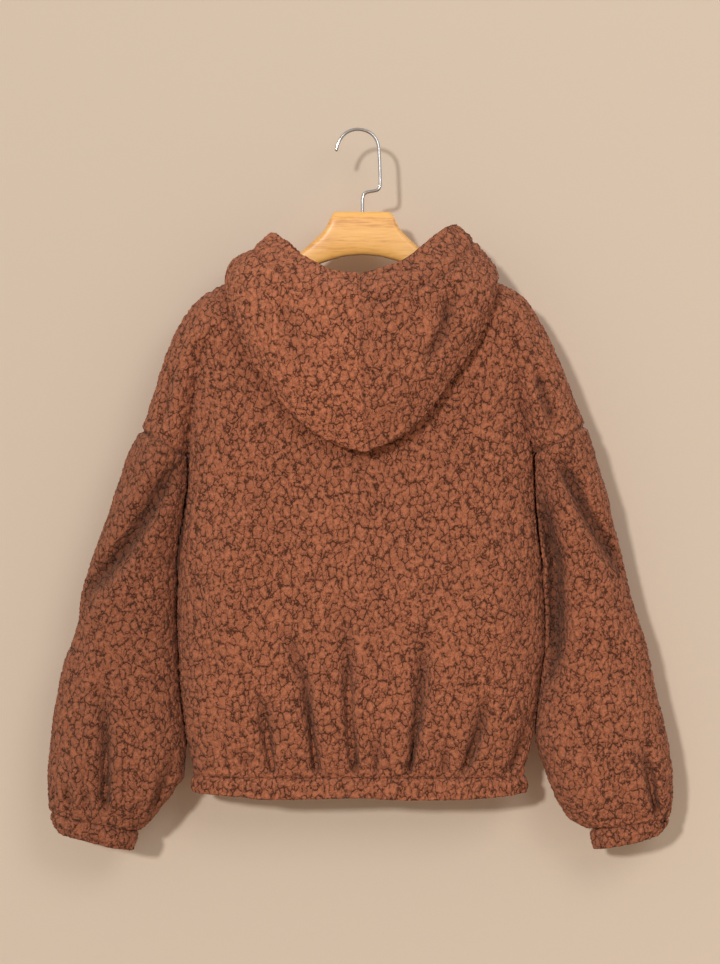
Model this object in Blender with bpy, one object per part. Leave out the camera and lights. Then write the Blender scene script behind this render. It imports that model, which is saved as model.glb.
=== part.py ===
"""Hooded sherpa jacket on a wooden hanger, as the pieces a maker would cut.

Frame: +Z up, the back of the garment faces -Y, the origin is where a rail bears inside the hook.
Tables are in millimetres, x from the garment's centre line. Every cloth piece is a wall of even
thickness: an outer surface worked out from the tables, and the same surface set in by the wall.
"""

import math
from collections import namedtuple

import bmesh
import bpy
import numpy as np

# ---------------------------------------------------------------- sizes, mm
MM = 0.001
CENTRE_X = 5.75       # the garment's centre line lies this far from the hook's crest
WALL = 3.0            # sherpa knit, its pile pressed flat
BAND_WALL = 3.6       # cloth folded over elastic
SEAM = 0.3            # between two pieces
SEAM_LEAN = 0.35      # how far sideways the wall's direction leans at the armhole
EVEN_PASSES = 3       # how often the inner skin's directions are evened out
RIDGE_R = 55.0        # rounding of shoulder ridge and sleeve edge
SIDE_R = 85.0         # rounding of the body's side
ARM_R = 38.0          # rounding of the sleeve beside the body
HEM_Z = -741.0        # seam between body and hem band
UNDERARM_Z = -520.0
NECK_X = 92.0         # half the neck's width
NECK_RISE_Z = -147.0  # neck point of the shoulder seam
NECK_BACK_Z = -187.0
NECK_FRONT_Z = -222.0
ZIP_X = 8.0           # half the opening between the fronts
NECK_BACK_U = 0.22    # half the back's columns, as a share, that end on the neck
NECK_FRONT_U = 0.45   # where the neck starts among a front's columns
CUFF_WALL = 3.0

# ------------------------------------------------- outline and side, mm
Place = namedtuple("Place", "x z")
Side = namedtuple("Side", "z body sleeve lift")
Row = namedtuple("Row", "outer inner")
Depth = namedtuple("Depth", "z back front")

# shoulder ridge and outer edge of the sleeve, from the neck outwards and down
OUTLINE = {
    -1: tuple(Place(*p) for p in (
        (0, -125), (-60, -131), (-92, -147), (-120, -158.5), (-146, -171), (-160, -178),
        (-181, -190), (-194, -201), (-210, -224), (-220, -247), (-228, -270), (-241, -305),
        (-254, -344), (-263, -360), (-269.7, -373.7), (-277.7, -396.7), (-285.8, -419.7),
        (-292.7, -442.7), (-300.7, -465.7), (-308.8, -488.7), (-316.5, -511.7), (-323.5, -534.7),
        (-326, -557.7), (-331.8, -580.7), (-339.8, -603.7), (-345.6, -626.7), (-350, -649.7),
        (-354.8, -672.7), (-358, -695.7), (-360.5, -718.7), (-362.6, -741.7), (-361, -764.7),
        (-358, -784.3))),
    1: tuple(Place(*p) for p in (
        (0, -125), (60, -131), (92, -147), (120, -158.5), (150, -172), (164, -178),
        (183.4, -190), (192.5, -201), (206.4, -224), (218, -247), (228, -270), (241, -305),
        (256, -339), (263.9, -362), (266.4, -373.7), (273, -396.7), (280, -419.7),
        (285.6, -442.7), (291.5, -465.7), (296.6, -488.7), (301.5, -511.7), (307.6, -534.7),
        (314.5, -557.7), (322.6, -580.7), (329.5, -603.7), (334.5, -626.7), (339.8, -649.7),
        (345.6, -672.7), (350, -695.7), (353.6, -718.7), (356, -741.7), (357, -764.7),
        (353.6, -791))),
}
# x of the body's side and of the sleeve beside it; lift is how shallow the fold between them is
SIDES = {
    -1: tuple(Side(*p) for p in (
        (-171, -146, -146, 1.0), (-200, -150, -150, 0.95), (-218, -158, -158, 0.8),
        (-237, -172, -172, 0.55), (-255, -182, -182, 0.36), (-274, -188, -188, 0.24),
        (-307, -193, -193, 0.13), (-333, -197, -197, 0.075), (-372, -200, -200, 0.045),
        (-398, -200, -200, 0.04), (-432, -203.5, -203.5, 0.04), (-486, -211, -211, 0.035),
        (-520, -213.6, -213.6, 0.0), (-545, -214.3, -217.6, 0.0), (-600, -212.5, -216, 0.0),
        (-650, -209, -213, 0.0), (-697, -203, -207.5, 0.0), (-741, -194, -206.5, 0.0),
        (-753, -194, -214.5, 0.0), (-765, -194, -221, 0.0), (-776, -194, -230, 0.0),
        (-788, -194, -239, 0.0), (-799, -194, -251, 0.0), (-805, -194, -262.8, 0.0))),
    1: tuple(Side(*p) for p in (
        (-172, 150, 150, 1.0), (-200, 155, 155, 0.97), (-225, 161, 161, 0.85),
        (-245, 167, 167, 0.6), (-269, 172, 172, 0.4), (-295, 177.5, 177.5, 0.22),
        (-325, 184, 184, 0.11), (-350, 190, 190, 0.07), (-370, 196, 196, 0.05),
        (-409, 197.5, 197.5, 0.04), (-451, 199.5, 199.5, 0.04), (-486, 204, 204, 0.035),
        (-520, 208, 208, 0.0), (-545, 209.8, 213.1, 0.0), (-595, 209.5, 213.5, 0.0),
        (-634, 203.7, 209, 0.0), (-692, 196.6, 204, 0.0), (-741, 187.5, 211, 0.0),
        (-753, 187.5, 216.8, 0.0), (-765, 187.5, 222.5, 0.0), (-776, 187.5, 229.4, 0.0),
        (-788, 187.5, 238, 0.0), (-797, 187.5, 254, 0.0), (-802.7, 187.5, 272, 0.0))),
}
DEPTHS = tuple(Depth(*p) for p in (
    (-147, 38, 40), (-187, 44, 43), (-222, 47, 44.5), (-262, 50, 45.5), (-340, 53, 48),
    (-450, 55, 50), (-550, 56, 51), (-650, 53, 49), (-700, 47, 44), (-741, 37, 35)))
# the sleeve's depth as a share of the body's
ARM_DEPTH = ((-372, 1.0), (-420, 0.93), (-480, 0.83), (-540, 0.77), (-600, 0.75), (-650, 0.8),
             (-700, 0.92), (-741, 1.12), (-765, 1.04), (-785, 0.88), (-805, 0.68))
ARMHOLE = {-1: Row(-344, -372), 1: Row(-339, -370)}       # shoulder point and foot of the fold
CUFF_SEAM = {-1: Row(-784.3, -805), 1: Row(-791, -802.7)}
FOLD_TOP = {-1: Place(-146, -171), 1: Place(150, -172)}   # where the side fold meets the ridge
WING_TOP = {-1: Place(-194, -201), 1: Place(192.5, -201)}

HEM_ROWS = (-741, -734, -722, -704, -680, -650, -616, -582, -550, -520)
ARM_ROWS = 6                                               # underarm to the foot of the fold
FOLD_ROWS = (0.0, 0.18, 0.37, 0.56, 0.73, 0.86, 0.955, 1.0)
SLEEVE_STEPS = (22, 22, 22, 22, 22, 22, 22, 22, 20, 20, 18, 16, 14, 10, 8)
HALF_RING = 10                                             # columns across half a sleeve
WING_SHARE = tuple((1 - math.cos(math.pi * j / HALF_RING)) / 2 for j in range(HALF_RING + 1))

# ------------------------------------------------------------- folds, mm
# on: the piece it shapes; face -1 back, 1 front; ends: up fades to its last point, both fades twice
Fold = namedtuple("Fold", "on face depth width ends points")
FOLDS = (
    Fold("torso", -1, 3.5, 7, "up", ((-130.5, -731), (-137, -704))),
    Fold("torso", -1, 7, 9, "up", ((-101.8, -733), (-113, -660), (-137, -630))),
    Fold("torso", -1, 8, 10, "up", ((-52.3, -733), (-65, -632), (-82, -577), (-88, -540))),
    Fold("torso", -1, 7, 9, "up", ((-8.6, -733), (-15.5, -672), (-17, -605), (-21, -521))),
    Fold("torso", -1, 4.5, 7, "up", ((15.5, -736), (14.4, -680))),
    Fold("torso", -1, 8, 10, "up", ((53.5, -733), (62.7, -672), (68.4, -605), (67, -540))),
    Fold("torso", -1, 4, 7, "up", ((93.7, -736), (93.7, -698))),
    Fold("torso", -1, 8, 10, "up", ((116.7, -733), (132.8, -683), (142, -628))),
    Fold("torso", -1, 6, 9, "up", ((168.5, -736), (188, -680), (196, -655))),
    Fold("torso", -1, -3, 26, "both", ((-160, -600), (-150, -480), (-120, -400))),
    Fold("torso", -1, -3.5, 30, "both", ((150, -620), (152, -500), (120, -400))),
    Fold("both", -1, 5, 9, "both", ((196, -268), (210, -318.6), (221, -356))),
    Fold("both", -1, 3, 9, "both", ((-212, -262), (-222, -310), (-228, -350))),
    Fold("sleeve", -1, 9, 15, "both",
         ((-204, -366), (-222, -399), (-244, -439), (-270, -480), (-307, -523), (-332, -566))),
    Fold("sleeve", -1, 8, 10, "up", ((-292.7, -784), (-292.7, -705), (-300, -600))),
    Fold("sleeve", -1, 5, 7, "up", ((-331.8, -782), (-336, -738))),
    Fold("sleeve", -1, 6, 8, "up", ((-243, -788), (-225, -742), (-211, -690))),
    Fold("sleeve", -1, 4, 7, "up", ((-312, -786), (-316, -744))),
    Fold("sleeve", -1, 9, 12, "both",
         ((214, -362), (237, -404), (257, -445), (280, -480), (308, -530))),
    Fold("sleeve", -1, 13, 11, "both",
         ((203, -400), (211, -455), (219, -491), (225, -545), (225, -600), (214, -655))),
    Fold("sleeve", -1, 9, 9, "up", ((336.4, -784), (328, -742), (316, -690))),
    Fold("sleeve", -1, 5, 7, "up", ((306.5, -795), (298, -765))),
    Fold("sleeve", -1, 4, 7, "up", ((277, -799), (268, -770))),
    Fold("torso", 1, 6, 9, "up", ((-160, -736), (-166, -668))),
    Fold("torso", 1, 7, 10, "up", ((-118, -733), (-112, -650), (-104, -580))),
    Fold("torso", 1, 5, 8, "up", ((-84, -736), (-88, -690))),
    Fold("torso", 1, 7, 9, "up", ((-41, -733), (-47, -640), (-52, -560))),
    Fold("torso", 1, 7, 10, "up", ((152, -733), (158, -660), (160, -606))),
    Fold("torso", 1, 4, 7, "up", ((121, -736), (118, -698))),
    Fold("torso", 1, 8, 10, "up", ((77, -733), (70, -650), (64, -556))),
    Fold("torso", 1, 5, 8, "up", ((36, -736), (33, -676))),
    Fold("torso", 1, 5, 16, "both", ((-104, -200), (-128, -262), (-130, -330))),
    Fold("torso", 1, 5, 16, "both", ((106, -205), (134, -270), (138, -345))),
    Fold("sleeve", 1, 10, 12, "both", ((-214, -372), (-236, -430), (-274, -490), (-322, -548))),
    Fold("sleeve", 1, 8, 10, "up", ((-306, -784), (-309, -700), (-300, -630))),
    Fold("sleeve", 1, 5, 8, "up", ((-268, -794), (-258, -748))),
    Fold("sleeve", 1, 4, 7, "up", ((-338, -784), (-342, -744))),
    Fold("sleeve", 1, 7, 14, "both", ((222, -372), (246, -428), (280, -492), (310, -540))),
    Fold("sleeve", 1, 8, 9, "up", ((322, -790), (318, -710), (308, -640))),
    Fold("sleeve", 1, 5, 8, "up", ((290, -798), (282, -750))),
)
CLOSE_TROUGHS = 26    # two troughs nearer than this have one column between them
BACK_TROUGHS = (-130.5, -101.8, -52.3, -8.6, 15.5, 53.5, 93.7, 116.7, 168.5)
FRONT_TROUGHS = {-1: (-160, -118, -84, -41), 1: (152, 121, 77, 36)}
BACK_EXTRA = (-163, -147)      # two more columns beside the back's first trough
ZIP_COLUMNS = (24.0, 14.0)     # columns of a front beside its zip
HEM_ENDS = {-1: (-194, -191.5, -186, -176), 1: (187.5, 186.2, 183, 177)}

# hem band's lower edge, mm
BAND_EDGE = ((-194, -759), (-150, -762), (-96, -765), (-40, -763.5), (2, -763), (60, -766),
             (110, -765), (150, -763), (187.5, -759.6))
BAND_BULGE = (0.0, 1.6, 0.4)

# cuff's mouth, mm: outer and inner end of its lower edge
CUFF_MOUTH = {-1: (Place(-348, -806), Place(-264.5, -826)), 1: (Place(342, -809), Place(266, -825))}
CUFF_DEPTH_SHARE = (1.0, 0.97, 0.88)

# ------------------------------------------------------------- hood, mm
# a station at each angle round the neck, 0 at the centre back, 180 at the centre front: roll above
# the seam, rear layer, fold at the outline, front layer, casing's stitch line, face edge
Station = namedtuple("Station", "deg roll rear fold front casing face")
HOOD = {
    -1: tuple(Station(*p) for p in (
        (0, (0, -51, -175), (0, -64, -268), (2.5, -80, -370), (0, -104, -288),
         (-2, -101, -203), (-2, -80, -169)),
        (18, (-29, -50.5, -174), (-33, -63, -262), (-38, -78, -355), (-38, -102, -281),
         (-31, -99, -199), (-30.5, -78, -167)),
        (33, (-53, -49, -169), (-60, -61, -248), (-74, -74, -329), (-78, -97, -262),
         (-67, -92, -190), (-53.5, -72, -156)),
        (46, (-72, -46, -163), (-84, -58, -224), (-105, -68, -290), (-112, -88, -230),
         (-95, -80, -168), (-75, -60, -142.6)),
        (58, (-85, -37, -155), (-104, -52, -200), (-130, -62, -254), (-134, -76, -203),
         (-110, -66, -154), (-89, -45, -129)),
        (72, (-94, -22, -145), (-122, -38, -176), (-147, -50, -209), (-146, -50, -172),
         (-124, -43, -142), (-98, -28, -121)),
        (90, (-98, -1, -138), (-124, -13, -152), (-154, -18, -170), (-147, -16, -151),
         (-125, -18, -138), (-104, -13, -118.5)),
        (110, (-90, 23, -150), (-96, 28, -146), (-99, 26, -139), (-96, 20, -133),
         (-91, 14, -129), (-84, 9, -127)),
        (130, (-72, 43, -176), (-73, 45, -169), (-72, 44, -161), (-69, 40, -155),
         (-65, 35, -151), (-61, 30, -149)),
        (150, (-46, 47, -199), (-46, 49, -193), (-45, 49, -186), (-43, 46, -180),
         (-41, 42, -175), (-39, 37, -171)),
        (176, (-8.4, 46, -218), (-9, 48, -214), (-10, 48.5, -210), (-10, 48, -206),
         (-10, 46.5, -202), (-10, 44.5, -198)))),
    1: tuple(Station(*p) for p in (
        (0, (0, -51, -175), (0, -64, -268), (2.5, -80, -370), (0, -104, -288),
         (-2, -101, -203), (-2, -80, -169)),
        (18, (29, -50.5, -174), (33, -63, -262), (38, -78, -353), (38, -102, -281),
         (31, -99, -199), (30, -78, -160)),
        (33, (53, -49, -169), (60, -61, -248), (75, -74, -321), (78, -96, -262),
         (60, -92, -187), (50, -72, -151)),
        (46, (72, -46, -163), (84, -58, -224), (103, -68, -281), (108, -87, -230),
         (84, -80, -174), (68, -58, -136)),
        (58, (85, -37, -155), (104, -52, -200), (129, -62, -241), (132, -75, -199),
         (105, -66, -157), (84, -43, -122)),
        (72, (94, -22, -145), (122, -38, -176), (146, -50, -204), (146, -50, -170),
         (119, -43, -141), (97, -27, -113)),
        (90, (98, -1, -138), (124, -13, -152), (153, -18, -169), (147, -16, -150),
         (128, -18, -128), (106, -13, -110.5)),
        (110, (90, 23, -150), (96, 28, -146), (99, 26, -139), (96, 20, -133),
         (91, 14, -129), (84, 9, -127)),
        (130, (72, 43, -176), (73, 45, -169), (72, 44, -161), (69, 40, -155),
         (65, 35, -151), (61, 30, -149)),
        (150, (46, 47, -199), (46, 49, -193), (45, 49, -186), (43, 46, -180),
         (41, 42, -175), (39, 37, -171)),
        (176, (8.4, 46, -218), (9, 48, -214), (10, 48.5, -210), (10, 48, -206),
         (10, 46.5, -202), (10, 44.5, -198)))),
}
HOOD_STEPS = (0, 1, 1.7, 2.4, 3, 3.6, 4.3, 5, 6, 7, 7.6, 8.3, 9, 9.5, 10)
TURN_R = 6.5          # radius of the hood's fold
COLLAR = (88, 114)   # degrees round the neck over which the pouch becomes a plain collar
ROLL_OVER = (7.0, 5.0)  # outwards and down from the roll's top to the rear layer's start
STAND = 5.0           # the hood's height above the neck seam before it rolls over

# ------------------------------------------------------- hanger, mm
Bar = namedtuple("Bar", "x top bottom half")
BAR = tuple(Bar(*p) for p in (
    (0, -93, -142.6, 9), (20, -93, -144.5, 9), (30, -93.2, -147, 9), (34, -95, -148, 9),
    (36.5, -99.5, -148.7, 9), (39.5, -107, -149.7, 9), (45, -115.5, -151.5, 9),
    (53, -123.5, -154.5, 9), (62.7, -132.5, -159, 9), (73, -141, -164, 9),
    (84, -150, -169.5, 9), (93, -155.5, -174.5, 9), (120, -167.4, -189, 8.5), (150, -178.4, -203, 8),
    (174, -191.4, -214, 7.5),
    (186, -202, -219, 6.5), (191, -208.5, -218, 4.5)))
BAR_ROUND = ((0.5, 1), (0.9, 0.75), (1, 0), (0.9, -0.75), (0.5, -1),
             (-0.5, -1), (-0.9, -0.75), (-1, 0), (-0.9, 0.75), (-0.5, 1))
WIRE_R = 1.9
WIRE_SIDES = 10
HOLE_R = 2.3
STEM_END_Z = -104.0
HOOK = tuple(Place(*p) for p in (
    (-30, -21.8), (-28.4, -15.5), (-25.3, -9.4), (-21.4, -4.4), (-16.7, -1), (-11.4, 1.1),
    (-5.75, 1.9), (0.2, 1.3), (5.8, -0.6), (10.4, -3.4), (14.2, -7.4), (17, -12.6),
    (18.7, -20), (19.5, -31), (20.2, -48), (20.5, -59.8), (19.9, -64.4), (17.5, -67.6),
    (13, -69), (8, -69.8), (4, -71), (1.4, -73.6), (0.2, -78), (0, -84), (0, -92)))

# ------------------------------------------------------------ zip, mm
TAPE_THICK = 1.4
TAPE_SET_IN = 1.0
TAPE_TOP_Z = -223.5
TAPE_END_Z = -758.0
TAPE_ROWS = 26
PIVOT_Z = -233.0
SLIDER = {"half_x": 4.5, "half_z": 6.0, "thick": 1.6}
BRIDGE = {"half_x": 1.1, "foot": -2.1, "sill": -0.95, "lintel": 2.0, "top": 3.2, "deep": 2.2,
          "bar": 1.0}
PULL = {"thick": 1.0, "head": 0.5, "eye_long": 6.0, "eye_half": 1.4, "half_x": 3.1, "long": 24.0,
        "tip_half": 3.4}


# ------------------------------------------------------------ small maths
def smooth(xs, ys, q):
    """A curve through the points of a table that never overshoots them."""
    xs, ys, q = (np.asarray(a, float) for a in (xs, ys, q))
    if xs[0] > xs[-1]:
        xs, ys = xs[::-1], ys[::-1]
    step = np.diff(xs)
    rise = np.diff(ys) / step
    slope = np.zeros_like(ys)
    same = rise[:-1] * rise[1:] > 0
    mean = 2 * rise[:-1] * rise[1:] / np.where(same, rise[:-1] + rise[1:], 1.0)
    slope[1:-1] = np.where(same, mean, 0.0)
    slope[0], slope[-1] = rise[0], rise[-1]
    q = np.clip(q, xs[0], xs[-1])
    i = np.clip(np.searchsorted(xs, q, side="right") - 1, 0, len(step) - 1)
    t = (q - xs[i]) / step[i]
    a = ys[i] * (1 + 2 * t) * (1 - t) ** 2 + slope[i] * step[i] * t * (1 - t) ** 2
    b = ys[i + 1] * t * t * (3 - 2 * t) + slope[i + 1] * step[i] * t * t * (t - 1)
    return a + b


def arch(t):
    """A quarter circle: 0 at 0 with an upright start, 1 from 1 on."""
    t = np.clip(t, 0.0, 1.0)
    return np.sqrt(np.maximum(0.0, 1 - (1 - t) ** 2))


def ease(t):
    t = np.clip(t, 0.0, 1.0)
    return t * t * (3 - 2 * t)


def unit(v):
    return v / np.maximum(np.linalg.norm(v, axis=-1, keepdims=True), 1e-12)


def fine_line(line, parts=4):
    """The outline again, with points on a smooth curve between its own."""
    x, z = np.array([p.x for p in line], float), np.array([p.z for p in line], float)
    at = np.linspace(0, len(line) - 1, (len(line) - 1) * parts + 1)
    steps = np.arange(len(line))
    return np.stack([smooth(steps, x, at), smooth(steps, z, at)], axis=-1)


def line_distance(x, z, line):
    """Distance of each point to a line of points, and how far along it, 0 to 1."""
    p = np.stack([x, z], axis=-1)
    best, along = np.full(x.shape, 1e9), np.zeros(x.shape)
    long = np.concatenate([[0], np.cumsum(np.linalg.norm(np.diff(line, axis=0), axis=1))])
    for a, b, at in zip(line[:-1], line[1:], range(len(line) - 1)):
        d = b - a
        t = np.clip(((p - a) @ d) / (d @ d), 0, 1)
        far = np.linalg.norm(p - a - t[..., None] * d, axis=-1)
        nearer = far < best
        best = np.where(nearer, far, best)
        along = np.where(nearer, (long[at] + t * (long[at + 1] - long[at])) / long[-1], along)
    return best, along


FINE_OUTLINE = {side: fine_line(OUTLINE[side]) for side in (-1, 1)}


def outline_x(side, z):
    lower = [p for p in OUTLINE[side] if p.z <= WING_TOP[side].z]
    return smooth([p.z for p in lower], [p.x for p in lower], z)


def side_x(side, z, which):
    rows = SIDES[side]
    return smooth([r.z for r in rows], [getattr(r, which) for r in rows], z)


def depth(z, face):
    which = "back" if face < 0 else "front"
    return smooth([r.z for r in DEPTHS], [getattr(r, which) for r in DEPTHS], z)


# --------------------------------------------------------- cloth surfaces
def torso_y(x, z, face):
    """Depth of body and shoulder at a point of the outline's plane, without folds."""
    x, z = np.asarray(x, float), np.asarray(z, float)
    y = depth(z, face)
    for side in (-1, 1):
        y = y * arch(line_distance(x, z, FINE_OUTLINE[side])[0] / RIDGE_R)
        inside = side * (side_x(side, z, "body") - x)
        y = y * arch(np.maximum(inside, 0) / SIDE_R + side_x(side, z, "lift"))
    return face * y


def limb_y(x, z, face, side):
    """Depth of the shoulder beyond the side fold and of the sleeve, without folds."""
    x, z = np.asarray(x, float), np.asarray(z, float)
    y = depth(z, face) * smooth([r[0] for r in ARM_DEPTH], [r[1] for r in ARM_DEPTH], z)
    y = y * arch(line_distance(x, z, FINE_OUTLINE[side])[0] / RIDGE_R)
    beyond = side * (x - side_x(side, z, "sleeve"))
    return face * y * arch(np.maximum(beyond, 0) / ARM_R + side_x(side, z, "lift"))


def trough(d):
    """Section of a fold: a soft trough with a low ridge on each side, 0.93 deep in the middle."""
    return 1.18 * np.exp(-d * d) - 0.25 * np.exp(-((d / 2.3) ** 2))


def folds_in(x, z, face, on):
    """How far the folds set the cloth in at each point."""
    total = np.zeros(np.shape(x))
    for f in FOLDS:
        if f.face != face or f.on not in (on, "both"):
            continue
        d, along = line_distance(np.asarray(x, float), np.asarray(z, float), np.array(f.points, float))
        fade = ease((1 - along) / 0.75) if f.ends == "up" else ease(4 * along) * ease(3 * (1 - along))
        if f.on == "torso":
            fade = fade * ease((np.asarray(z) - HEM_Z) / 14)
        total = total + f.depth * fade * trough(d / f.width)
    return total


def neck_place(side, deg):
    """A point of the neck seam: x and z."""
    x = side * NECK_X * math.sin(math.radians(deg))
    share = abs(x) / NECK_X
    if deg <= 90:
        return x, NECK_BACK_Z + (NECK_RISE_Z - NECK_BACK_Z) * share ** 2.4
    return x, NECK_FRONT_Z + (NECK_RISE_Z - NECK_FRONT_Z) * share ** 2.4


def neck_point(side, deg):
    x, z = neck_place(side, deg)
    y = 0.0 if deg == 90 else float(torso_y(x, z, -1 if deg < 90 else 1))
    return np.array([x, y, z])


def neck_normal(side, deg):
    a = math.radians(deg)
    n = np.array([side * 0.75 * math.sin(a), -math.cos(a), 0.65 * math.sin(a) ** 2])
    return n / np.linalg.norm(n)


# ------------------------------------------------------------ grids
def coons(bottom, top, left, right, u, v):
    """A grid between four edges; rows go from bottom to top, columns from left to right."""
    bottom, top, left, right = (np.asarray(a, float) for a in (bottom, top, left, right))
    u, v = np.asarray(u, float)[None, :, None], np.asarray(v, float)[:, None, None]
    ruled = (1 - u) * left[:, None] + u * right[:, None]
    flat_b = (1 - u) * bottom[0] + u * bottom[-1]
    flat_t = (1 - u) * top[0] + u * top[-1]
    return ruled + (1 - v) * (bottom[None] - flat_b) + v * (top[None] - flat_t)


def hem_columns(troughs, ends_low, ends_high):
    """x of the columns at the hem: on each trough, on the crest between two and on its flanks."""
    inner = [troughs[0]]
    for a, b in zip(troughs[:-1], troughs[1:]):
        parts = 2 if abs(b - a) < CLOSE_TROUGHS else 4
        inner += [a + (b - a) * k / parts for k in range(1, parts)] + [b]
    return list(ends_low) + inner + list(ends_high)


def edge_heights(side):
    """Heights of the rows on the side of the body: side seam, armhole, then the fold."""
    foot, top = ARMHOLE[side].inner, FOLD_TOP[side].z
    up = [UNDERARM_Z + (foot - UNDERARM_Z) * k / ARM_ROWS for k in range(1, ARM_ROWS + 1)]
    return np.array(list(HEM_ROWS) + up + [foot + (top - foot) * s for s in FOLD_ROWS[1:]])


def edge_line(side):
    z = edge_heights(side)
    return np.stack([side_x(side, z, "body"), z], axis=-1)


def ridge_line(side, start, end, count):
    """Points on the shoulder ridge between two of the outline's own points."""
    line = OUTLINE[side]
    names = [(p.x, p.z) for p in line]
    i, j = names.index((start.x, start.z)), names.index((end.x, end.z))
    at = i + (j - i) * np.asarray(count, float)
    steps = np.arange(len(line))
    return np.stack([smooth(steps, [p.x for p in line], at),
                     smooth(steps, [p.z for p in line], at)], axis=-1)


def back_columns():
    low = HEM_ENDS[-1] + BACK_EXTRA
    xs = hem_columns(BACK_TROUGHS, low, tuple(reversed(HEM_ENDS[1])))
    middle = (HEM_ENDS[-1][0] + HEM_ENDS[1][0]) / 2
    return np.array(sorted(xs + [middle]))


def front_columns(side):
    xs = hem_columns(FRONT_TROUGHS[side], HEM_ENDS[side], ())
    return np.array(xs + [side * x for x in ZIP_COLUMNS + (ZIP_X,)], float)


def back_top(u):
    """Top edge of the back: shoulder ridge, neck, shoulder ridge."""
    points = []
    for share in u:
        off = share - 0.5
        side = -1 if off < 0 else 1
        if abs(off) <= NECK_BACK_U + 1e-9:
            points.append(neck_place(side, 90 * abs(off) / NECK_BACK_U))
        else:
            part = (0.5 - abs(off)) / (0.5 - NECK_BACK_U)
            line = ridge_line(side, FOLD_TOP[side], Place(side * NECK_X, NECK_RISE_Z), [part])
            points.append(tuple(line[0]))
    return np.array(points)


def front_angles(u):
    last = 180 - math.degrees(math.asin(ZIP_X / NECK_X))
    return [90 + (last - 90) * (s - NECK_FRONT_U) / (1 - NECK_FRONT_U) for s in u]


def front_top(side, u):
    points = []
    for share, deg in zip(u, front_angles(u)):
        if share < NECK_FRONT_U:
            line = ridge_line(side, FOLD_TOP[side], Place(side * NECK_X, NECK_RISE_Z),
                              [share / NECK_FRONT_U])
            points.append(tuple(line[0]))
        else:
            points.append(neck_place(side, deg))
    return np.array(points)


def snap(u, value):
    """The shares again, with the one nearest to a value moved onto it."""
    u = np.array(u)
    u[np.argmin(np.abs(u - value))] = value
    return u


def wing_grid(side):
    """x and z of the shoulder beyond the fold: rows up from the armhole, columns to the fold."""
    seam = ARMHOLE[side]
    outer = np.array([outline_x(side, seam.outer), seam.outer], float)
    foot = np.array([side_x(side, seam.inner, "body"), seam.inner], float)
    share = np.array(WING_SHARE)[:, None]
    bottom = outer + (foot - outer) * share
    top = ridge_line(side, WING_TOP[side], FOLD_TOP[side], WING_SHARE)
    v = np.array(FOLD_ROWS)
    left_z = seam.outer + (WING_TOP[side].z - seam.outer) * v
    left = np.stack([outline_x(side, left_z), left_z], axis=-1)
    z = edge_heights(side)[-len(FOLD_ROWS):]
    right = np.stack([side_x(side, z, "body"), z], axis=-1)
    return coons(bottom, top, left, right, WING_SHARE, v)


def lay(grid, y):
    return np.stack([grid[..., 0], y, grid[..., 1]], axis=-1)


def wing_block(side, face):
    g = wing_grid(side)
    x, z = g[..., 0], g[..., 1]
    y = limb_y(x, z, face, side)
    y = y - face * folds_in(x, z, face, "sleeve_seam") * (np.abs(y) > 1)
    y[:, 0] = 0
    y[-1, :] = 0
    normals = np.full(g.shape[:2] + (3,), np.nan)
    normals[:, 0] = ridge_normals(lay(g, y)[:, 0], side)
    normals[-1, :] = ridge_normals(lay(g, y)[-1, :], side)
    normals[0, :] = armhole_normals(side, face, x[0], z[0])
    return lay(g, y), normals


def ridge_normals(points, side):
    """Normals, level with the ridge's own plane, for points on the outline."""
    line = FINE_OUTLINE[side]
    d = np.gradient(line, axis=0)
    n = unit(np.stack([-side * d[:, 1], np.zeros(len(d)), side * d[:, 0]], axis=-1))
    near = [int(np.argmin(np.hypot(line[:, 0] - p[0], line[:, 1] - p[2]))) for p in points]
    return n[near]


def armhole_normals(side, face, x, z):
    """Shared by body and sleeve: outwards at the shoulder point, straight out of the face inside."""
    a = arch(line_distance(x, z, FINE_OUTLINE[side])[0] / RIDGE_R)
    out = np.sqrt(np.maximum(0, 1 - a * a))
    return unit(np.stack([side * out * 0.93, face * a, out * 0.37], axis=-1))


# ------------------------------------------------------------ shells
def shell(name, blocks, wall, facing, shift=(0, 0, 0), material=None):
    """A closed wall: the blocks' surface outside, the same set in by the wall inside."""
    places, faces, given = {}, [], {}
    points = []

    def index(p):
        key = tuple(np.round(p, 4))
        if key not in places:
            places[key] = len(points)
            points.append(np.array(p, float))
        return places[key]

    for grid, normals in blocks:
        ids = np.array([[index(p) for p in row] for row in grid])
        for r in range(ids.shape[0]):
            for c in range(ids.shape[1]):
                if np.isfinite(normals[r, c]).all():
                    given[ids[r, c]] = normals[r, c]
        for r in range(ids.shape[0] - 1):
            for c in range(ids.shape[1] - 1):
                q = [ids[r, c], ids[r, c + 1], ids[r + 1, c + 1], ids[r + 1, c]]
                q = [v for k, v in enumerate(q) if v != q[k - 1]]
                faces.append(q if facing > 0 else q[::-1])
    outer = np.array(points)
    total = np.zeros_like(outer)
    for q in faces:
        p = outer[q]
        total[q] += np.cross(p[2] - p[0], p[-1] - p[1])
    total = evened(unit(total), faces, given)
    inner = outer - wall * total
    return solid(name, outer, inner, split(outer, faces), shift, material)


def split(points, faces):
    """Each four-sided face as two triangles, across the diagonal that keeps them flatter."""
    out = []
    for q in faces:
        if len(q) < 4:
            out.append(q)
            continue
        a, b, c, d = points[q]
        across = [unit(np.cross(b - a, c - a)) @ unit(np.cross(c - a, d - a)),
                  unit(np.cross(b - a, d - a)) @ unit(np.cross(c - b, d - b))]
        if across[0] >= across[1]:
            out += [[q[0], q[1], q[2]], [q[0], q[2], q[3]]]
        else:
            out += [[q[0], q[1], q[3]], [q[1], q[2], q[3]]]
    return out


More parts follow.
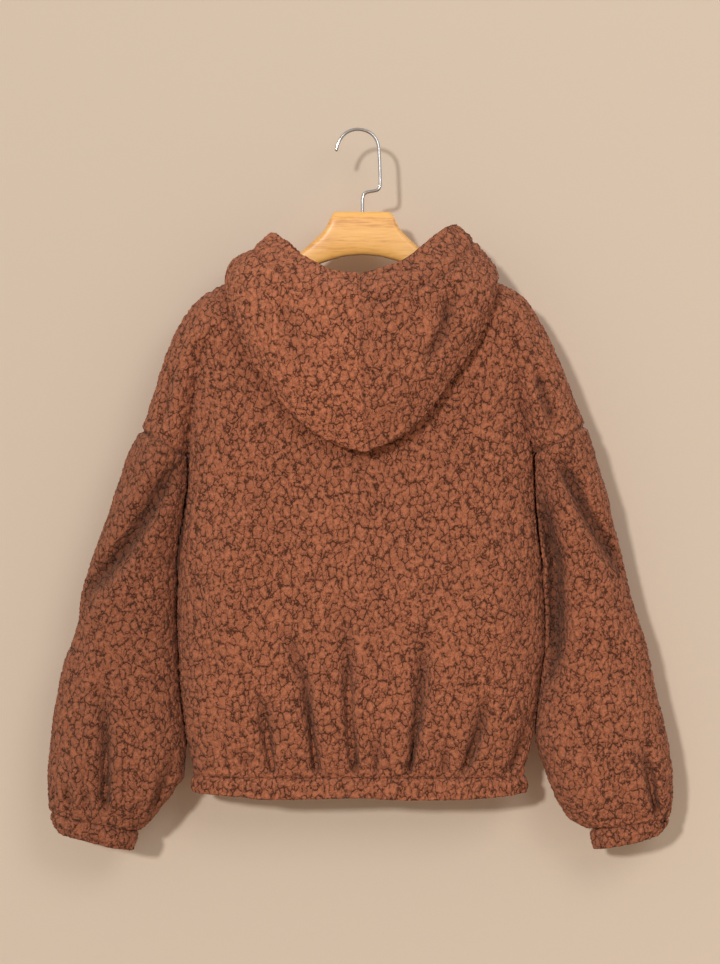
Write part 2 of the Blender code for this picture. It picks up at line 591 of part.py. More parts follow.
def evened(normals, faces, given):
    """Normals averaged with their neighbours', so that the inner skin never crosses itself."""
    for k, n in given.items():
        normals[k] = n
    for _ in range(EVEN_PASSES):
        mean = normals.copy()
        for q in faces:
            mean[q] += 0.5 * normals[q].mean(axis=0)
        normals = unit(mean)
        for k, n in given.items():
            normals[k] = n
    return normals


def solid(name, outer, inner, faces, shift, material):
    """One closed body from an outer skin, an inner skin and the rim between their free edges."""
    bm = bmesh.new()
    move = np.array([CENTRE_X, 0, 0]) + np.array(shift, float)
    out = [bm.verts.new((p + move) * MM) for p in outer]
    inn = [bm.verts.new((p + move) * MM) for p in inner]
    edges = {}
    for q in faces:
        bm.faces.new([out[v] for v in q])
        bm.faces.new([inn[v] for v in reversed(q)])
        for a, b in zip(q, q[1:] + q[:1]):
            edges[(a, b)] = True
    for a, b in edges:
        if (b, a) not in edges:
            bm.faces.new([out[b], out[a], inn[a], inn[b]])
    return finish(name, bm, material)


def finish(name, bm, material):
    """The mesh as a named object, its faces outwards."""
    for v in [v for v in bm.verts if not v.link_faces]:
        bm.verts.remove(v)
    mesh = bpy.data.meshes.new(name)
    bm.to_mesh(mesh)
    bm.free()
    thing = bpy.data.objects.new(name, mesh)
    COLLECTION.objects.link(thing)
    mesh.materials.append(material)
    return thing


def make_material(name, colour, rough, metal=0.0):
    m = bpy.data.materials.new(name)
    m.use_nodes = True
    shader = m.node_tree.nodes["Principled BSDF"]
    shader.inputs["Base Color"].default_value = (*colour, 1)
    shader.inputs["Roughness"].default_value = rough
    shader.inputs["Metallic"].default_value = metal
    m.diffuse_color = (*colour, 1)
    return m


# ------------------------------------------------------------ body
def torso_y_folded(g, face):
    x, z = g[..., 0], g[..., 1]
    y = torso_y(x, z, face)
    soft = ease((np.abs(y) - 4) / 14)
    return y - face * folds_in(x, z, face, "torso") * soft


def body_block(face, columns, top, left, right, heights):
    """A panel between its two edges, from hem to shoulder, with its own normals on the seams."""
    u = (columns - columns[0]) / (columns[-1] - columns[0])
    bottom = np.stack([columns, np.full(len(columns), HEM_Z)], axis=-1)
    v = (heights - heights[0]) / (heights[-1] - heights[0])
    g = coons(bottom, top, left, right, u, v)
    return lay(g, torso_y_folded(g, face))


def seam_normals(grid, face, side, column):
    """Normals on the side seam and armhole of a panel's edge column."""
    normals = np.full(grid.shape, np.nan)
    z = grid[:, column, 2]
    for r in range(len(z)):
        if z[r] <= UNDERARM_Z + 1:
            normals[r, column] = (side, 0, 0)
        elif z[r] <= ARMHOLE[side].inner + 0.5:
            normals[r, column] = unit(np.array([side * SEAM_LEAN, face, 0.0]))
    return normals


def ring_normals(points):
    """Level normals of a ring of points that runs with the outside on its right."""
    d = np.gradient(points, axis=0)
    return unit(np.stack([d[:, 1], -d[:, 0], np.zeros(len(d))], axis=-1))


def hem_ring():
    """The hem seam from the zip round the back to the zip, and which points are whose."""
    parts = []
    for face, xs in ((1, front_columns(-1)[::-1]), (-1, back_columns()[1:-1]), (1, front_columns(1))):
        parts.append(np.stack([xs, torso_y(xs, np.full(len(xs), HEM_Z), face)], axis=-1))
    ring = np.concatenate(parts)
    ring[len(parts[0]) - 1, 1] = 0
    ring[len(parts[0]) + len(parts[1]), 1] = 0
    return ring, len(parts[0]), len(parts[1])


def build_back(material):
    columns = back_columns()
    u = (columns - columns[0]) / (columns[-1] - columns[0])
    for at in (0.5 - NECK_BACK_U, 0.5 + NECK_BACK_U):
        u = snap(u, at)
    columns = columns[0] + u * (columns[-1] - columns[0])
    grid = body_block(-1, columns, back_top(u), edge_line(-1), edge_line(1), edge_heights(-1))
    normals = np.full(grid.shape, np.nan)
    for side, column in ((-1, 0), (1, -1)):
        edge = seam_normals(grid, -1, side, column)
        normals[:, column] = edge[:, column]
    ring, first, middle = hem_ring()
    normals[0] = ring_normals(ring)[first - 1:first + middle + 1]
    for c, share in enumerate(u):
        off = abs(share - 0.5)
        side = -1 if share < 0.5 else 1
        if off < NECK_BACK_U + 1e-6:
            normals[-1, c] = neck_normal(side, 90 * off / NECK_BACK_U)
        else:
            grid[-1, c, 1] = 0
            normals[-1, c] = ridge_normals([grid[-1, c]], side)[0]
    on_ridge = [c for c, s in enumerate(u) if abs(s - 0.5) >= NECK_BACK_U - 1e-6]
    grid[-1, on_ridge, 1] = 0
    low = grid[:, 0, 2] <= UNDERARM_Z + 1
    grid[low, 0, 1] = 0
    grid[low, -1, 1] = 0
    blocks = [(grid, normals)]
    for side in (-1, 1):
        wing, wing_normals = wing_block(side, -1)
        wing[:, -1] = grid[-len(FOLD_ROWS):, 0 if side < 0 else -1]
        wing_normals[1:-1, -1] = np.nan
        wing_normals[0, -1] = seam_normals(grid, -1, side, 0 if side < 0 else -1)[
            len(HEM_ROWS) + ARM_ROWS - 1, 0 if side < 0 else -1]
        if side > 0:
            wing, wing_normals = wing[:, ::-1], wing_normals[:, ::-1]
        blocks.append((wing, wing_normals))
    return shell("back", blocks, WALL, 1, (0, -SEAM / 2, 0), material)


def build_front(side, material):
    columns = front_columns(side)
    u = snap((columns - columns[0]) / (columns[-1] - columns[0]), NECK_FRONT_U)
    columns = columns[0] + u * (columns[-1] - columns[0])
    heights = edge_heights(side)
    zip_z = HEM_Z + (neck_place(side, front_angles([1.0])[0])[1] - HEM_Z) * (
        (heights - heights[0]) / (heights[-1] - heights[0]))
    zip_edge = np.stack([np.full(len(heights), side * ZIP_X), zip_z], axis=-1)
    grid = body_block(1, columns, front_top(side, u), edge_line(side), zip_edge, heights)
    normals = seam_normals(grid, 1, side, 0)
    ring, first, middle = hem_ring()
    level = ring_normals(ring)
    normals[0] = level[:first][::-1] if side < 0 else level[first + middle:]
    normals[1:, -1] = np.where(np.isnan(normals[1:, -1]), (0.0, 1.0, 0.0), normals[1:, -1])
    for c, (share, deg) in enumerate(zip(u, front_angles(u))):
        if share >= NECK_FRONT_U:
            normals[-1, c] = neck_normal(side, deg)
        else:
            grid[-1, c, 1] = 0
            normals[-1, c] = ridge_normals([grid[-1, c]], side)[0]
    grid[-1, [c for c, s in enumerate(u) if s <= NECK_FRONT_U + 1e-9], 1] = 0
    grid[grid[:, 0, 2] <= UNDERARM_Z + 1, 0, 1] = 0
    wing, wing_normals = wing_block(side, 1)
    wing[:, -1] = grid[-len(FOLD_ROWS):, 0]
    wing_normals[1:-1, -1] = np.nan
    wing_normals[0, -1] = normals[len(HEM_ROWS) + ARM_ROWS - 1, 0]
    blocks = [(grid, normals), (wing, wing_normals)]
    return shell("front_left" if side < 0 else "front_right", blocks, WALL, side,
                 (0, SEAM / 2, 0), material)


# ------------------------------------------------------------ sleeves and cuffs
def sleeve_rows(side):
    """Heights of a sleeve's rows at its outer and its inner edge."""
    seam, cuff = ARMHOLE[side], CUFF_SEAM[side]
    reach = sum(SLEEVE_STEPS)
    inner = [seam.inner + (UNDERARM_Z - seam.inner) * k / ARM_ROWS for k in range(ARM_ROWS + 1)]
    under_outer = UNDERARM_Z + 18
    outer = [seam.outer + (under_outer - seam.outer) * k / ARM_ROWS for k in range(ARM_ROWS + 1)]
    gone = 0
    for step in SLEEVE_STEPS:
        gone += step
        outer.append(under_outer + (cuff.outer - under_outer) * gone / reach)
        inner.append(UNDERARM_Z + (cuff.inner - UNDERARM_Z) * gone / reach)
    return np.array(outer), np.array(inner)


def sleeve_half(side, face):
    """Half a sleeve: rows down, columns from its outer to its inner edge."""
    outer_z, inner_z = sleeve_rows(side)
    outer = np.stack([outline_x(side, outer_z), outer_z], axis=-1)
    inner = np.stack([side_x(side, inner_z, "sleeve"), inner_z], axis=-1)
    share = np.array(WING_SHARE)[None, :, None]
    g = outer[:, None] * (1 - share) + inner[:, None] * share
    x, z = g[..., 0], g[..., 1]
    y = limb_y(x, z, face, side)
    rows = np.arange(len(outer_z))[:, None] + 0 * x
    soft = ease((np.abs(y) - 4) / 12) * ease(rows / 2.0)
    y = y - face * folds_in(x, z, face, "sleeve") * soft * ease((len(outer_z) - 1 - rows) / 2.0)
    y[:, 0] = 0
    y[ARM_ROWS:, -1] = 0
    return lay(g, y)


def sleeve_ring(side):
    """The cuff seam as a ring: back half from the inner edge out, front half back again."""
    back, front = sleeve_half(side, -1)[-1], sleeve_half(side, 1)[-1]
    return np.concatenate([back[::-1], front[1:]])


def cuff_frame(side):
    ring = sleeve_ring(side)
    along = unit(ring[HALF_RING] - ring[0])
    down = np.cross(along, (0, 1, 0)) * side
    down = unit(down if down[2] < 0 else -down)
    return ring, along, down


def cuff_ring_normals(ring, along, down):
    d = np.roll(ring[:-1], -1, axis=0) - np.roll(ring[:-1], 1, axis=0)
    n = unit(np.cross(d, down))
    middle = ring[:-1].mean(axis=0)
    n = n * np.sign(((ring[:-1] - middle) * n).sum(axis=1))[:, None]
    return np.concatenate([n, n[:1]])


def build_sleeve(side, material):
    halves = {face: sleeve_half(side, face) for face in (-1, 1)}
    grid = np.concatenate([halves[-1][:, ::-1], halves[1][:, 1:]], axis=1)
    normals = np.full(grid.shape, np.nan)
    for c in range(grid.shape[1]):
        face = -1 if c < HALF_RING else 1
        normals[0, c] = armhole_normals(side, face, grid[0, c:c + 1, 0], grid[0, c:c + 1, 2])[0]
    for face, c in ((-1, 0), (1, -1)):
        for r in range(ARM_ROWS):
            normals[r, c] = unit(np.array([-side * SEAM_LEAN, face, 0.0]))
        normals[ARM_ROWS, c] = (-side, 0, 0)
    ring, along, down = cuff_frame(side)
    normals[-1] = cuff_ring_normals(ring, along, down)
    name = "sleeve_left" if side < 0 else "sleeve_right"
    return shell(name, [(grid, normals)], WALL, -side, (side * SEAM, 0, -SEAM), material)


def build_cuff(side, material):
    ring, along, down = cuff_frame(side)
    low_outer, low_inner = (np.array([p.x, 0, p.z]) for p in CUFF_MOUTH[side])
    top_outer, top_inner = ring[HALF_RING], ring[0]
    rows = []
    for k, share in enumerate(CUFF_DEPTH_SHARE):
        t = k / (len(CUFF_DEPTH_SHARE) - 1)
        a = top_inner * (1 - t) + low_inner * t
        b = top_outer * (1 - t) + low_outer * t
        reach = ((ring - top_inner) @ along) / np.linalg.norm(top_outer - top_inner)
        row = a + reach[:, None] * (b - a)
        row[:, 1] = ring[:, 1] * share
        rows.append(row)
    grid = np.array(rows)
    normals = np.full(grid.shape, np.nan)
    normals[0] = cuff_ring_normals(ring, along, down)
    name = "cuff_left" if side < 0 else "cuff_right"
    shift = np.array([side * SEAM, 0, -SEAM]) + SEAM * down
    return shell(name, [(grid, normals)], CUFF_WALL, -side, shift, material)


# ------------------------------------------------------------ hem band
def build_band(material):
    ring, first, middle = hem_ring()
    level = ring_normals(ring)
    low = smooth([p[0] for p in BAND_EDGE], [p[1] for p in BAND_EDGE], ring[:, 0])
    rows = []
    for k, bulge in enumerate(BAND_BULGE):
        t = k / (len(BAND_BULGE) - 1)
        z = HEM_Z + (low - HEM_Z) * t
        rows.append(np.stack([ring[:, 0] + bulge * level[:, 0] * (np.abs(ring[:, 0]) > ZIP_X + 1),
                              ring[:, 1] + bulge * level[:, 1], z], axis=-1))
    grid = np.array(rows)
    normals = np.tile(level, (len(rows), 1, 1))
    return shell("hem_band", [(grid, normals)], BAND_WALL, -1, (0, 0, -SEAM), material)


# ------------------------------------------------------------ hood
def hood_angles(side):
    columns = back_columns()
    u = (columns - columns[0]) / (columns[-1] - columns[0])
    for at in (0.5 - NECK_BACK_U, 0.5 + NECK_BACK_U):
        u = snap(u, at)
    off = side * (u - 0.5)
    back = sorted({round(90 * o / NECK_BACK_U, 6) for o in off if -1e-9 <= o <= NECK_BACK_U + 1e-9})
    columns = front_columns(side)
    u = snap((columns - columns[0]) / (columns[-1] - columns[0]), NECK_FRONT_U)
    front = [a for a in front_angles(u) if a > 90.001]
    return back + sorted(front)


def hood_grid(side):
    """Stations round the neck, each a profile from the neck seam to the face edge."""
    angles = hood_angles(side)
    table = HOOD[side]
    degs = [s.deg for s in table]
    keys = ("roll", "rear", "fold", "front", "casing", "face")
    rows = []
    for deg in angles:
        seam = neck_point(side, deg)
        stand = seam + np.array([0, 0, STAND * (0.4 + 0.6 * min(1, abs(180 - deg) / 60))])
        marks = [seam, stand]
        for key in keys:
            marks.append(np.array([smooth(degs, [getattr(s, key)[k] for s in table], deg)
                                   for k in range(3)]))
        pouch = ease((COLLAR[1] - deg) / (COLLAR[1] - COLLAR[0]))
        marks.insert(3, roll_over(marks[2], marks[3], pouch))
        marks[5:6] = turn(*marks[4:7], pouch)
        marks = np.array(marks, float)
        rows.append(profile(marks))
    return np.array(rows), angles


def turn(rear, fold, front, pouch):
    """The fold as three marks: a round turn on the pouch, a plain bulge on the front's collar."""
    plain = [fold + 0.5 * (rear - fold), fold, fold + 0.5 * (front - fold)]
    out = unit(fold - (rear + front) / 2)
    across = front - rear
    across = unit(across - (across @ out) * out)
    low = fold - TURN_R * out
    rounded = [low - TURN_R * across, fold, low + TURN_R * across]
    return [pouch * a + (1 - pouch) * b for a, b in zip(rounded, plain)]


def roll_over(roll, rear, pouch):
    """The mark where the rolled cloth turns down into the rear layer."""
    drop = ROLL_OVER[1] * min(1, max(0, (roll[2] - rear[2]) / 14))
    rounded = roll + ROLL_OVER[0] * unit((rear - roll) * (1, 1, 0)) - (0, 0, drop)
    return pouch * rounded + (1 - pouch) * (0.6 * roll + 0.4 * rear)


def profile(marks):
    """A rounded line through a station's marks, sampled where the cloth bends most."""
    count = len(marks)
    ends = np.concatenate([[2 * marks[0] - marks[1]], marks, [2 * marks[-1] - marks[-2]]])
    out = []
    for at in HOOD_STEPS:
        i = min(int(at), count - 2)
        t = at - i
        a, b, c, d = ends[i:i + 4]
        out.append(0.5 * (2 * b + (c - a) * t + (2 * a - 5 * b + 4 * c - d) * t * t
                          + (3 * b - a - 3 * c + d) * t ** 3))
    return np.array(out)


def build_hood(side, material):
    grid, angles = hood_grid(side)
    normals = np.full(grid.shape, np.nan)
    for r, deg in enumerate(angles):
        normals[r, 0] = neck_normal(side, deg)
    d = np.gradient(grid[0], axis=0)
    flat = unit(np.stack([np.zeros(len(d)), -d[:, 2], d[:, 1]], axis=-1))
    normals[0, 1:] = flat[1:]
    name = "hood_left" if side < 0 else "hood_right"
    grid[0, :, 0] += side * SEAM / 2
    return shell(name, [(grid, normals)], WALL, -side, (0, 0, 1.3 * SEAM), material)


# ------------------------------------------------------------ hanger
def loft(name, rings, material):
    """A closed body through rings of points, its two ends closed flat."""
    bm = bmesh.new()
    move = np.array([CENTRE_X, 0, 0])
    rows = [[bm.verts.new((np.array(p) + move) * MM) for p in ring] for ring in rings]
    for a, b in zip(rows[:-1], rows[1:]):
        for k in range(len(a)):
            j = (k + 1) % len(a)
            bm.faces.new([a[k], a[j], b[j], b[k]])
    bm.faces.new(rows[0][::-1])
    bm.faces.new(rows[-1])
    bmesh.ops.recalc_face_normals(bm, faces=bm.faces)
    return finish(name, bm, material)


def build_bar(material):
    rings = []
    stations = [(-b.x, b) for b in reversed(BAR)] + [(b.x, b) for b in BAR[1:]]
    for x, b in stations:
        middle, tall = (b.top + b.bottom) / 2, (b.top - b.bottom) / 2
        rings.append([(x, b.half * p, middle + tall * q) for p, q in BAR_ROUND])
    bar = loft("hanger_bar", rings, material)
    cut_cylinder(bar, (0, 0), (STEM_END_Z - 2, BAR[0].top + 4), HOLE_R)
    return bar


def cut_cylinder(thing, at, z_range, radius):
    bm = bmesh.new()
    bmesh.ops.create_cone(bm, cap_ends=True, segments=16, radius1=radius * MM, radius2=radius * MM,
                          depth=(z_range[1] - z_range[0]) * MM)
    bmesh.ops.translate(bm, verts=bm.verts, vec=((at[0] + CENTRE_X) * MM, at[1] * MM,
                                                 (z_range[0] + z_range[1]) / 2 * MM))
    cutter = finish(thing.name + "_cutter", bm, thing.data.materials[0])
    hide(cutter)
    boolean(thing, cutter, "DIFFERENCE")


def hide(cutter):
    cutter.hide_render = True
    cutter.display_type = "WIRE"


def boolean(thing, other, how):
    mod = thing.modifiers.new(other.name, "BOOLEAN")
    mod.operation = how
    mod.solver = "EXACT"
    mod.object = other


def build_hook(material):
    points = np.array([(p.x, p.z) for p in HOOK + (Place(0, STEM_END_Z + 0.5),)], float)
    d = unit(np.gradient(points, axis=0))
    rings = []
    for p, t in zip(points, d):
        ring = []
        for a in np.linspace(0, 2 * math.pi, WIRE_SIDES, endpoint=False):
            out = WIRE_R * math.cos(a)
            ring.append((p[0] + out * t[1], WIRE_R * math.sin(a), p[1] - out * t[0]))
        rings.append(ring)
    return loft("hanger_hook", rings, material)


# ------------------------------------------------------------ zip
def tape_y(z):
    """Outer face of the tape at a height."""
    z = np.asarray(z, float)
    edge = torso_y(np.full(z.shape, -ZIP_X), np.maximum(z, HEM_Z), 1)
    return edge - TAPE_SET_IN


def build_tape(side, material):
    z = np.linspace(TAPE_TOP_Z, TAPE_END_Z, TAPE_ROWS)
    y = tape_y(z)
    rings = []
    for h, out in zip(z, y):
        xs = side * (ZIP_X - SEAM), side * SEAM
        rings.append([(xs[0], out, h), (xs[1], out, h), (xs[1], out - TAPE_THICK, h),
                      (xs[0], out - TAPE_THICK, h)])
    return loft("zip_tape_left" if side < 0 else "zip_tape_right", rings, material)


def box(name, low, high, material):
    rings = [[(x, low[1], low[2]), (x, high[1], low[2]), (x, high[1], high[2]), (x, low[1], high[2])]
             for x in (low[0], high[0])]
    return loft(name, rings, material)


def plate_face():
    """y of the slider's outer face."""
    return float(tape_y(np.array([PIVOT_Z]))[0]) + 2 * SEAM + SLIDER["thick"]


def build_slider(material):
    s, b, y = SLIDER, BRIDGE, plate_face()
    plate = box("zip_slider", (-s["half_x"], y - s["thick"], PIVOT_Z - s["half_z"]),
                (s["half_x"], y, PIVOT_Z + s["half_z"]), material)
    outline = [(y - 0.5, b["foot"]), (y + b["deep"] + b["bar"], b["foot"]),
               (y + b["deep"] + b["bar"], b["top"]), (y - 0.5, b["top"]), (y - 0.5, b["lintel"]),
               (y + b["deep"], b["lintel"]), (y + b["deep"], b["sill"]), (y - 0.5, b["sill"])]
    rings = [[(x, p, PIVOT_Z + q) for p, q in outline] for x in (-b["half_x"], b["half_x"])]
    bridge = loft("zip_slider_bridge", rings, material)
    hide(bridge)
    boolean(plate, bridge, "UNION")
    return plate


def build_pull(material):
    p, y = PULL, plate_face() + BRIDGE["deep"] / 2
    shape = [(p["half_x"], p["head"]), (p["half_x"], -p["eye_long"]), (p["tip_half"], -p["long"] + 3),
             (p["tip_half"] - 1.2, -p["long"] + 0.8), (p["tip_half"] - 2.6, -p["long"])]
    outline = shape + [(-x, z) for x, z in reversed(shape)]
    rings = [[(x, d, PIVOT_Z + z) for x, z in outline]
             for d in (y - p["thick"] / 2, y + p["thick"] / 2)]
    pull = loft("zip_pull", rings, material)
    cutter = box("zip_pull_eye", (-p["eye_half"], y - 2, PIVOT_Z - p["eye_long"]),
                 (p["eye_half"], y + 2, PIVOT_Z - p["head"]), material)
    hide(cutter)
    boolean(pull, cutter, "DIFFERENCE")
    return pull


# ------------------------------------------------------------ the object
for old in list(bpy.data.objects):
    bpy.data.objects.remove(old)
COLLECTION = bpy.data.collections.new("hooded_sherpa_jacket")
bpy.context.scene.collection.children.link(COLLECTION)

SHERPA = make_material("sherpa", (0.36, 0.13, 0.06), 0.95)
TAPE = make_material("zip_tape", (0.2, 0.07, 0.035), 0.85)
METAL = make_material("steel", (0.7, 0.7, 0.72), 0.25, 1.0)
WOOD = make_material("beech", (0.8, 0.58, 0.36), 0.45)

build_back(SHERPA)
build_band(SHERPA)
for which in (-1, 1):
    build_front(which, SHERPA)
    build_sleeve(which, SHERPA)
    build_cuff(which, SHERPA)
    build_hood(which, SHERPA)
    build_tape(which, TAPE)
build_slider(METAL)
build_pull(METAL)
build_bar(WOOD)
build_hook(METAL)
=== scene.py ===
"""Hooded sherpa jacket on a wooden hanger, dressed in curly pile and lit in a small studio.

Frame: metres, +Z up, the garment's back faces -Y, the origin is where a rail bears inside the
hook. Tables are in millimetres, x from the garment's centre line, and are turned into metres when
a mesh is made. Each cloth piece is a thin closed shell on its solid's surface: a fine outer grid
that carries the pile, and a coarser inner skin.
"""

from __future__ import annotations

import itertools
import logging
import math
from dataclasses import dataclass
from enum import Enum, IntEnum
from typing import NamedTuple, Sequence

import bmesh
import bpy
import numpy as np
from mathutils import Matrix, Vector
from mathutils.kdtree import KDTree


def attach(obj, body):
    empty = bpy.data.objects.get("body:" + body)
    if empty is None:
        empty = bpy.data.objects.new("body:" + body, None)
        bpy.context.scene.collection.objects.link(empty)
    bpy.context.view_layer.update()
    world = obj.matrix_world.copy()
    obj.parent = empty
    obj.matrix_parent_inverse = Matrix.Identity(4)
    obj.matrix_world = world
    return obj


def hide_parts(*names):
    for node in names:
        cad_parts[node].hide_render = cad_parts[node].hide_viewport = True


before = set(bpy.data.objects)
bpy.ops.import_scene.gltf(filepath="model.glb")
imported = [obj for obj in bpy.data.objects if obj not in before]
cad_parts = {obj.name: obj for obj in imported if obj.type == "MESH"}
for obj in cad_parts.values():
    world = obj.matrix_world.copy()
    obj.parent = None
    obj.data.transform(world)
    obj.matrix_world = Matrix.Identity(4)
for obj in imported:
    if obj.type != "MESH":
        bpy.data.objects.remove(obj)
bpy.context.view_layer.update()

LOG = logging.getLogger("jacket")
Array = np.ndarray

# ---------------------------------------------------------------- sizes, mm
MM = 0.001
CENTRE_X = 5.75       # the garment's centre line lies this far from the hook's crest
WALL = 3.0            # from the pile's level down to the inside of the cloth
RIDGE_R = 55.0        # rounding of shoulder ridge and sleeve edge
SIDE_R = 85.0         # rounding of the body's side
ARM_R = 38.0          # rounding of the sleeve beside the body
HEM_Z = -741.0        # seam between body and hem band
UNDERARM_Z = -520.0
DEEPEN = 2.1          # the cloth's folds against the plainer ones of the solids
NARROW = 0.8
TROUGH = 1.18         # section of a fold: its trough, and the low lip on each side
LIP = 0.25
LIP_WIDE = 2.3
UP_FADE = 0.85        # a gather keeps its depth for most of its way up, and widens
UP_HOLD = 0.6
UP_WIDE = (0.6, 0.9)
HEM_FADE = 14.0       # the body's folds begin within this height above the hem band
SHARP = 4.0           # nearer than this to an edge the cloth has no folds
FOLD_FADE = {"panel": 14.0, "sleeve": 12.0}
ARMHOLE_FADE = 40.0
CUFF_FADE = 20.0
UNDERARM_RISE = 18.0  # the underarm's row ends this much higher at the sleeve's outer edge
NECK_POWER = 2.4      # how steeply the neck seam rises to its sides
TUCK = 4.5            # how far the sleeve's inner edge lies behind the body's
TUCK_Z = (-500.0, -540.0, -705.0, -738.0)
NECK_X = 92.0
NECK_RISE_Z = -147.0
NECK_BACK_Z = -187.0
NECK_FRONT_Z = -222.0
ZIP_X = 8.0
SEAM_IN = 3.6         # how far the top of a band is turned in behind the cloth above it
SEAM_UP = 3.0
NECK_BACK_U = 0.22
NECK_FRONT_U = 0.45


class Side(IntEnum):
    """Left and right as the photograph shows them."""

    LEFT = -1
    RIGHT = 1

    @property
    def word(self) -> str:
        """The side's name in piece and node names."""
        return self.name.lower()


class Face(IntEnum):
    """The two faces of the garment: its back looks along -Y."""

    BACK = -1
    FRONT = 1


class Ends(Enum):
    """How a fold fades: towards its last point only, or towards both ends."""

    UP = "up"
    BOTH = "both"


class Place(NamedTuple):
    """A point of the outline's plane."""

    x: float
    z: float


class SideRow(NamedTuple):
    """x of the body's side and of the sleeve beside it; lift is how shallow the fold between is."""

    z: float
    body: float
    sleeve: float
    lift: float


class DepthRow(NamedTuple):
    """Half depth of the garment at a height."""

    z: float
    back: float
    front: float


class Row(NamedTuple):
    """Heights of a seam at the sleeve's outer and inner edge."""

    outer: float
    inner: float


class Fold(NamedTuple):
    """A crease pressed into the cloth along a line of the outline's plane."""

    on: str
    face: int
    depth: float
    width: float
    ends: Ends
    points: tuple[tuple[float, float], ...]


class Station(NamedTuple):
    """The hood's section at an angle round the neck, 0 at the centre back."""

    deg: float
    roll: tuple[float, float, float]
    rear: tuple[float, float, float]
    fold: tuple[float, float, float]
    front: tuple[float, float, float]
    casing: tuple[float, float, float]
    face: tuple[float, float, float]


class BarRow(NamedTuple):
    """Section of the hanger's bar at a distance from its middle."""

    x: float
    top: float
    bottom: float
    half: float


# shoulder ridge and outer edge of the sleeve, from the neck outwards and down
OUTLINE = {
    -1: tuple(Place(*p) for p in (
        (0, -125), (-60, -131), (-92, -147), (-120, -158.5), (-146, -171), (-160, -178),
        (-181, -190), (-194, -201), (-210, -224), (-220, -247), (-228, -270), (-241, -305),
        (-254, -344), (-263, -360), (-269.7, -373.7), (-277.7, -396.7), (-285.8, -419.7),
        (-292.7, -442.7), (-300.7, -465.7), (-308.8, -488.7), (-316.5, -511.7), (-323.5, -534.7),
        (-326, -557.7), (-331.8, -580.7), (-339.8, -603.7), (-345.6, -626.7), (-350, -649.7),
        (-354.8, -672.7), (-358, -695.7), (-360.5, -718.7), (-362.6, -741.7), (-361, -764.7),
        (-358, -784.3))),
    1: tuple(Place(*p) for p in (
        (0, -125), (60, -131), (92, -147), (120, -158.5), (150, -172), (164, -178),
        (183.4, -190), (192.5, -201), (206.4, -224), (218, -247), (228, -270), (241, -305),
        (256, -339), (263.9, -362), (266.4, -373.7), (273, -396.7), (280, -419.7),
        (285.6, -442.7), (291.5, -465.7), (296.6, -488.7), (301.5, -511.7), (307.6, -534.7),
        (314.5, -557.7), (322.6, -580.7), (329.5, -603.7), (334.5, -626.7), (339.8, -649.7),
        (345.6, -672.7), (350, -695.7), (353.6, -718.7), (356, -741.7), (357, -764.7),
        (353.6, -791))),
}
SIDES = {
    -1: tuple(SideRow(*p) for p in (
        (-171, -146, -146, 1.0), (-200, -150, -150, 0.95), (-218, -158, -158, 0.8),
        (-237, -172, -172, 0.55), (-255, -182, -182, 0.36), (-274, -188, -188, 0.24),
        (-307, -193, -193, 0.13), (-333, -197, -197, 0.075), (-372, -200, -200, 0.045),
        (-398, -200, -200, 0.04), (-432, -203.5, -203.5, 0.04), (-486, -211, -211, 0.035),
        (-520, -213.6, -213.6, 0.0), (-545, -214.3, -217.6, 0.0), (-600, -212.5, -216, 0.0),
        (-650, -209, -213, 0.0), (-697, -203, -207.5, 0.0), (-741, -194, -206.5, 0.0),
        (-753, -194, -214.5, 0.0), (-765, -194, -221, 0.0), (-776, -194, -230, 0.0),
        (-788, -194, -239, 0.0), (-799, -194, -250, 0.0), (-805, -194, -258.5, 0.0))),
    1: tuple(SideRow(*p) for p in (
        (-172, 150, 150, 1.0), (-200, 155, 155, 0.97), (-225, 161, 161, 0.85),
        (-245, 167, 167, 0.6), (-269, 172, 172, 0.4), (-295, 177.5, 177.5, 0.22),
        (-325, 184, 184, 0.11), (-350, 190, 190, 0.07), (-370, 196, 196, 0.05),
        (-409, 197.5, 197.5, 0.04), (-451, 199.5, 199.5, 0.04), (-486, 204, 204, 0.035),
        (-520, 208, 208, 0.0), (-545, 209.8, 213.1, 0.0), (-595, 209.5, 213.5, 0.0),
        (-634, 203.7, 209, 0.0), (-692, 196.6, 204, 0.0), (-741, 187.5, 211, 0.0),
        (-753, 187.5, 216.8, 0.0), (-765, 187.5, 222.5, 0.0), (-776, 187.5, 229.4, 0.0),
        (-788, 187.5, 238, 0.0), (-797, 187.5, 251, 0.0), (-802.7, 187.5, 263, 0.0))),
}
DEPTHS = tuple(DepthRow(*p) for p in (
    (-147, 38, 40), (-187, 44, 43), (-222, 47, 44.5), (-262, 50, 45.5), (-340, 53, 48),
    (-450, 55, 50), (-550, 56, 51), (-650, 53, 49), (-700, 47, 44), (-741, 37, 35)))
# the sleeve's depth as a share of the body's, by height
ARM_DEPTH = ((-372, 1.0), (-420, 0.93), (-480, 0.83), (-540, 0.77), (-600, 0.75), (-650, 0.8),
             (-700, 0.92), (-741, 1.12), (-765, 1.04), (-785, 0.88), (-805, 0.68))
ARMHOLE = {-1: Row(-344, -372), 1: Row(-339, -370)}
CUFF_SEAM = {-1: Row(-784.3, -805), 1: Row(-791, -802.7)}
FOLD_TOP = {-1: Place(-146, -171), 1: Place(150, -172)}
WING_TOP = {-1: Place(-194, -201), 1: Place(192.5, -201)}
HEM_X = {-1: -194.0, 1: 187.5}

